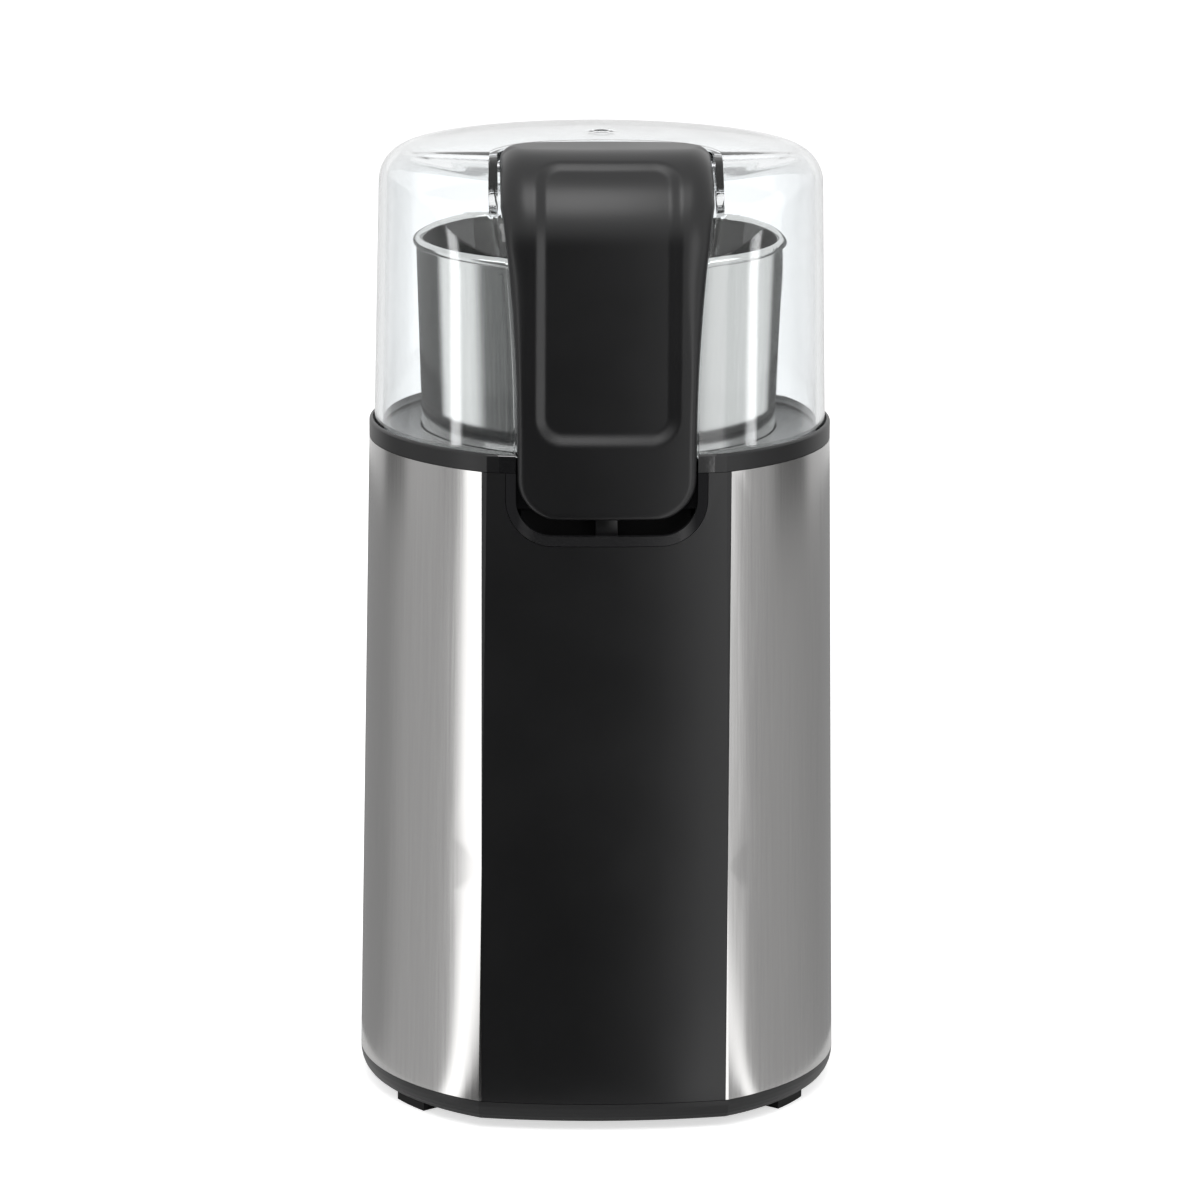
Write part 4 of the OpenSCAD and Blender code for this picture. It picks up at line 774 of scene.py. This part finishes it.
def channel_block(inset, grow):
    """A closed band that follows the lid's lever channel, from its floor outwards."""
    end_y = END_Y - grow
    line = channel_line(inset, end_y)
    rows = len(line) - 1
    mesh = bmesh.new()
    bmesh.ops.create_grid(mesh, x_segments=CHANNEL_COLUMNS, y_segments=rows, size=1.0)
    outward = {}
    for vert in mesh.verts:
        y, z, a = line[round((vert.co.y + 1) / 2 * rows)]
        half = (LEVER_WIDTH + LEVER_FLARE * flare_share(z + CHANNEL_LEAD * a)) / 2 + grow
        if a == math.pi / 2:
            half = corner_half(half, -end_y - y, CHANNEL_CORNER + grow)
        x = half * vert.co.x
        bowed = BOW_CENTRE_Y - math.sqrt((BOW_CENTRE_Y - y) ** 2 - x**2)
        level = max(0.0, (y + CHANNEL_BACK_Y) / (CHANNEL_BACK_Y - end_y))
        vert.co = Vector((x, bowed + (y - bowed) * level, z))
        outward[place_key(vert)] = Vector((0, -math.cos(a), math.sin(a))) * CHANNEL_REACH
    # Each new vertex lies on the one that it was made from
    for vert in made_vertices(bmesh.ops.extrude_face_region(mesh, geom=mesh.faces[:])):
        vert.co += outward[place_key(vert)]
    bmesh.ops.recalc_face_normals(mesh, faces=mesh.faces)
    return mesh


def place_key(vert):
    """A vertex's place, rounded so that it can be looked up."""
    return tuple(round(c, 5) for c in vert.co)


def combine(first, second, operation):
    """One closed bmesh cut by, joined to or kept within another; both are used up."""
    objects = [new_object("blank", mesh) for mesh in (first, second)]
    cut = objects[0].modifiers.new("cut", "BOOLEAN")
    cut.operation = operation
    cut.solver = "EXACT"
    cut.object = objects[1]
    graph = bpy.context.evaluated_depsgraph_get()
    result = bmesh.new()
    result.from_mesh(objects[0].evaluated_get(graph).to_mesh())
    for obj in objects:
        data = obj.data
        bpy.data.objects.remove(obj)
        bpy.data.meshes.remove(data)
    return result


class GRINDER_OT_clear_lid(Operator):
    """Clear lid: a domed shell with a flattened front, rounded corners, and a ribbed channel for the lever"""

    bl_idname = "grinder.clear_lid"
    bl_label = "Clear lid"

    def execute(self, context):
        sizes = context.scene.grinder.lid
        band = CHANNEL_GAP + sizes.rib_width
        ribs = combine(
            channel_block(CHANNEL_WALL, band),
            lid_blank(-sizes.rib_height / 2, LID_FOOT_Z, RIB_BLEND, front_inset=-sizes.rib_height),
            "INTERSECT",
        )
        body = combine(lid_blank(0.0, LID_FOOT_Z, sizes.corner, gate=True), ribs, "UNION")
        hollow = combine(
            lid_blank(sizes.wall, LID_FOOT_Z - HOLLOW_BELOW, sizes.corner),
            channel_block(CHANNEL_WALL, band),
            "DIFFERENCE",
        )
        body = combine(body, hollow, "DIFFERENCE")
        body = combine(body, channel_block(0.0, CHANNEL_GAP), "DIFFERENCE")
        bmesh.ops.scale(body, vec=(MM, MM, MM), verts=body.verts)
        bmesh.ops.remove_doubles(body, verts=body.verts, dist=1e-6)
        add_piece("lid_moulding", body, "lid", "clear_san", ("lid_shell",), smooth=28)
        return {"FINISHED"}


class GRINDER_OT_dress_frame(Operator):
    """Gives every solid of the frame its finish"""

    bl_idname = "grinder.dress_frame"
    bl_label = "Dress frame"

    def execute(self, context):
        for part in frame["record"]["subparts"]:
            put_on(NODES[part["node"]], finish_of(part["material_slot"]))
        # Glass-filled nylon, near black as painted shade: the carrier's plate closes the pocket behind the lever's
        # tab
        put_on(NODES["switch_carrier"], moulded("nylon_painted_shade", "#0c0c0d", 0.6, specular=0.2))
        put_on(NODES["lever_guide"], guide_plastic())
        put_on(NODES["top_collar"], collar_plastic())
        return {"FINISHED"}


# Stage


# The photograph's camera, fitted to it: metres, degrees and pixels
CAMERA_DISTANCE = 1.056
CAMERA_HEIGHT = 0.3367
CAMERA_SIDE = 0.00026
CAMERA_AZIMUTH = -2.1
CAMERA_PITCH = 12.73
CAMERA_ROLL = 0.31
FOCAL_PIXELS = 5376
PHOTO_PIXELS = 1200
SENSOR_MM = 36


def add_camera():
    """The photograph's view."""
    data = bpy.data.cameras.new("camera")
    data.sensor_width = SENSOR_MM
    data.lens = data.sensor_width * FOCAL_PIXELS / PHOTO_PIXELS
    camera = bpy.data.objects.new("camera", data)
    turn = Matrix.Rotation(math.radians(CAMERA_AZIMUTH), 4, "Z")
    place = Matrix.Translation((CAMERA_SIDE, -CAMERA_DISTANCE, CAMERA_HEIGHT))
    tilt = Matrix.Rotation(math.radians(90 - CAMERA_PITCH), 4, "X")
    roll = Matrix.Rotation(math.radians(CAMERA_ROLL), 4, "Z")
    camera.matrix_world = turn @ place @ tilt @ roll
    bpy.context.scene.collection.objects.link(camera)
    bpy.context.scene.camera = camera


# Studio cards that stand round the object, seen only in reflections: brightness by the angle from the camera's
# side of the object, negative to the left. The low cards go out over the floor and up to CARD_STEP; the high
# cards stand on them.
LOW_CARDS = [
    (-180, 0.3),
    (-131, 0.36),
    (-114, 0.52),
    (-76, 0.56),
    (-71, 2.4),
    (-66, 2.4),
    (-61, 0.12),
    (-25, 0.02),
    (8, 0.04),
    (24, 0.5),
    (28, 1.9),
    (44, 1.9),
    (48, 0.4),
    (63, 0.5),
    (66, 2.0),
    (69, 2.0),
    (72, 0.5),
    (104, 0.46),
    (136, 0.36),
    (180, 0.3),
]
HIGH_CARDS = [
    (-180, 0.9),
    (-140, 0.7),
    (-134, 0.16),
    (-117, 0.2),
    (-112, 0.62),
    (-92, 0.6),
    (-74, 0.34),
    (-70, 3.0),
    (-65, 3.0),
    (-61, 0.12),
    (-25, 0.02),
    (8, 0.03),
    (24, 0.4),
    (28, 3.0),
    (44, 3.0),
    (48, 0.5),
    (63, 0.5),
    (66, 2.6),
    (70, 2.6),
    (73, 0.5),
    (92, 0.5),
    (98, 0.16),
    (120, 0.14),
    (128, 0.7),
    (180, 0.9),
]
# What the bowl shows through the lid's wall
BOWL_CARDS = [
    (-180, 0.02),
    (-128, 0.02),
    (-120, 1.3),
    (-90, 1.2),
    (-80, 0.2),
    (-40, 0.1),
    (0, 0.05),
    (40, 0.1),
    (58, 0.3),
    (72, 0.9),
    (120, 1.1),
    (134, 0.9),
    (142, 0.02),
    (180, 0.02),
]
# Narrow bright strips that only the inner face of the lid's wall shows
GLINT_CARDS = [
    (-180, 1.0),
    (-76, 0.9),
    (-72, 12.0),
    (-67, 12.0),
    (-63, 0.5),
    (63, 0.5),
    (67, 12.0),
    (72, 12.0),
    (76, 0.9),
    (180, 1.0),
]
# The ring's sides; then, in metres, where the cards begin and stand up, their heights on the floor and at the top,
# where the high ones start and over what height, and a length near the body's radius that puts the mirrored strips
# in their places
CARD_SIDES = 96
CARD_START = 0.06
CARD_DISTANCE = 0.45
CARD_FLOOR = 0.001
CARD_HEIGHT = 0.22
CARD_STEP = 0.043
CARD_BLUR = 0.003
WALL_SHIFT = 0.0529
# Past how many passages through the lid's faces a ray shows the glint cards, and past how many the bowl's
GLINT_DEPTH = 0.5
BOWL_DEPTH = 2.5
# An even grey for what is mirrored more than once
TWICE_MIRRORED = 0.85


def brightness_row(tree, turn, stops):
    """The brightness of a row of cards at a share of the full turn."""
    ramp = add_node(tree, "ShaderNodeValToRGB", {0: turn})
    elements = ramp.color_ramp.elements
    for i, (degrees, value) in enumerate(stops):
        position = (degrees + 180) / 360
        if i == 0:
            spot = elements[0]
        elif i == len(stops) - 1:
            spot = elements[-1]
        else:
            spot = elements.new(position)
        spot.position = position
        spot.color = grey(value)
    return ramp.outputs["Color"]


def card_colour(tree, path):
    """What the cards show, by the place that a ray meets and by its way there."""
    place = add_node(tree, "ShaderNodeTexCoord").outputs["Object"]
    x, y, z = add_node(tree, "ShaderNodeSeparateXYZ", {0: place}).outputs
    angle = calculate(tree, "ARCTAN2", x, calculate(tree, "MULTIPLY", y, -1.0))
    # The body's wall stands off the middle, so the strip that it mirrors lies further round than the card's place
    share = calculate(tree, "DIVIDE", WALL_SHIFT, distance_out(tree, place))
    sine = calculate(tree, "SINE", calculate(tree, "MULTIPLY", angle, 0.5))
    seen = calculate(tree, "MULTIPLY_ADD", share, sine, angle)
    turn = between(tree, seen, 0.0, 1.0, -math.pi, math.pi)
    low, high, glint, bowl = (
        brightness_row(tree, turn, stops) for stops in (LOW_CARDS, HIGH_CARDS, GLINT_CARDS, BOWL_CARDS)
    )
    step = between(tree, z, 0.0, 1.0, CARD_STEP - CARD_BLUR, CARD_STEP + CARD_BLUR)
    colour = mixed(tree, step, low, high)
    for depth, row in ((GLINT_DEPTH, glint), (BOWL_DEPTH, bowl)):
        deeper = calculate(tree, "GREATER_THAN", path["Transmission Depth"], depth)
        colour = mixed(tree, deeper, colour, row)
    again = calculate(tree, "GREATER_THAN", path["Glossy Depth"], 1.5)
    return mixed(tree, again, colour, grey(TWICE_MIRRORED))


def add_cards():
    """A ring of grey, white and black cards for the steel and the plastic to reflect."""
    profile = [(CARD_START, CARD_FLOOR), (CARD_DISTANCE, CARD_FLOOR), (CARD_DISTANCE, CARD_HEIGHT)]
    cards = new_object("studio_cards", turned(profile, CARD_SIDES))
    material, tree, out = new_material("studio_cards")
    path = add_node(tree, "ShaderNodeLightPath").outputs
    glow = add_node(tree, "ShaderNodeEmission", {"Color": card_colour(tree, path), "Strength": 1.0})
    gap = add_node(tree, "ShaderNodeBsdfTransparent")
    mirrored = calculate(tree, "GREATER_THAN", path["Glossy Depth"], 0.5)
    either = add_node(tree, "ShaderNodeMixShader", {0: mirrored, 1: gap.outputs[0], 2: glow.outputs[0]})
    tree.links.new(either.outputs[0], out.inputs[0])
    put_on(cards, material)
    for kind in ("camera", "diffuse", "shadow", "volume_scatter"):
        setattr(cards, "visible_" + kind, False)


# The even light of the room, and the floor's half size in metres, its grey and its own glow
ROOM_LIGHT = 0.7
FLOOR_HALF = 4.0
FLOOR_GREY = 0.82
FLOOR_GLOW = 0.62


def add_world():
    """White to the camera and in glass and metal, and a soft even light for all else."""
    world = bpy.data.worlds.new("studio")
    bpy.context.scene.world = world
    world.use_nodes = True
    tree = world.node_tree
    tree.nodes.clear()
    path = add_node(tree, "ShaderNodeLightPath").outputs
    glass = calculate(tree, "MAXIMUM", path["Is Glossy Ray"], path["Is Transmission Ray"])
    seen = calculate(tree, "MAXIMUM", path["Is Camera Ray"], glass)
    colour = mixed(tree, seen, grey(ROOM_LIGHT), grey(1.0))
    light = add_node(tree, "ShaderNodeBackground", {"Color": colour, "Strength": 1.0})
    out = add_node(tree, "ShaderNodeOutputWorld")
    tree.links.new(light.outputs[0], out.inputs[0])


def add_floor():
    """A pale sheet that keeps the object's shadow and is white where it has none."""
    mesh = bmesh.new()
    bmesh.ops.create_grid(mesh, x_segments=1, y_segments=1, size=FLOOR_HALF)
    floor = new_object("floor", mesh)
    material, tree, out = new_material("white_card")
    matt = add_node(tree, "ShaderNodeBsdfDiffuse", {"Color": grey(FLOOR_GREY)})
    glow = add_node(tree, "ShaderNodeEmission", {"Color": grey(1.0), "Strength": FLOOR_GLOW})
    both = add_node(tree, "ShaderNodeAddShader", {0: matt.outputs[0], 1: glow.outputs[0]})
    path = add_node(tree, "ShaderNodeLightPath").outputs
    seen = calculate(tree, "MAXIMUM", path["Is Camera Ray"], path["Is Transmission Ray"])
    either = add_node(tree, "ShaderNodeMixShader", {0: seen, 1: matt.outputs[0], 2: both.outputs[0]})
    tree.links.new(either.outputs[0], out.inputs[0])
    put_on(floor, material)


# Softboxes: (name, place, size in metres, power in watts), each turned to AIM, the middle of the object
AIM = Vector((0, 0, 0.1))
LAMPS = [
    ("top_softbox", (-0.05, -0.55, 0.8), 0.5, 3.0),
    ("left_softbox", (-0.9, -0.45, 0.35), 0.6, 1.5),
    ("right_softbox", (0.9, -0.3, 0.4), 0.6, 1.5),
]


def add_lamps():
    """Soft lamps over and beside the object."""
    for name, place, size, power in LAMPS:
        data = bpy.data.lights.new(name, "AREA")
        data.shape = "SQUARE"
        data.size = size
        data.energy = power
        lamp = bpy.data.objects.new(name, data)
        lamp.location = place
        lamp.rotation_euler = (AIM - Vector(place)).to_track_quat("-Z", "Y").to_euler()
        lamp.visible_glossy = name == "top_softbox"
        bpy.context.scene.collection.objects.link(lamp)


class GRINDER_OT_stage(Operator):
    """Camera, floor, lamps and the studio round the object"""

    bl_idname = "grinder.stage"
    bl_label = "Stage"

    def execute(self, context):
        add_camera()
        add_world()
        add_cards()
        add_floor()
        add_lamps()
        context.scene.view_settings.view_transform = "Standard"
        return {"FINISHED"}


class GRINDER_PT_panel(Panel):
    """The grinder's pieces and sizes"""

    bl_label = "Coffee grinder"
    bl_idname = "GRINDER_PT_panel"
    bl_space_type = "VIEW_3D"
    bl_region_type = "UI"
    bl_category = "Grinder"

    def draw(self, context):
        for name in OPERATORS:
            self.layout.operator("grinder." + name)
        for group in (context.scene.grinder.lever, context.scene.grinder.lid):
            for prop in group.bl_rna.properties:
                if not prop.is_readonly and prop.identifier != "name":
                    self.layout.prop(group, prop.identifier)


OPERATORS = ["dress_frame", "press_lever", "clear_lid", "stage"]
CLASSES = [
    LeverSizes,
    LidSizes,
    GrinderSettings,
    GRINDER_OT_dress_frame,
    GRINDER_OT_press_lever,
    GRINDER_OT_clear_lid,
    GRINDER_OT_stage,
    GRINDER_PT_panel,
]


def register():
    """Registers the classes and puts the settings on the scene."""
    for cls in CLASSES:
        bpy.utils.register_class(cls)
    bpy.types.Scene.grinder = PointerProperty(type=GrinderSettings)


def unregister():
    """Takes the settings and the classes off again."""
    del bpy.types.Scene.grinder
    for cls in reversed(CLASSES):
        bpy.utils.unregister_class(cls)


def main():
    """Makes the whole scene."""
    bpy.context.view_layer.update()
    register()
    for name in OPERATORS:
        getattr(bpy.ops.grinder, name)()


if __name__ == "__main__":
    main()
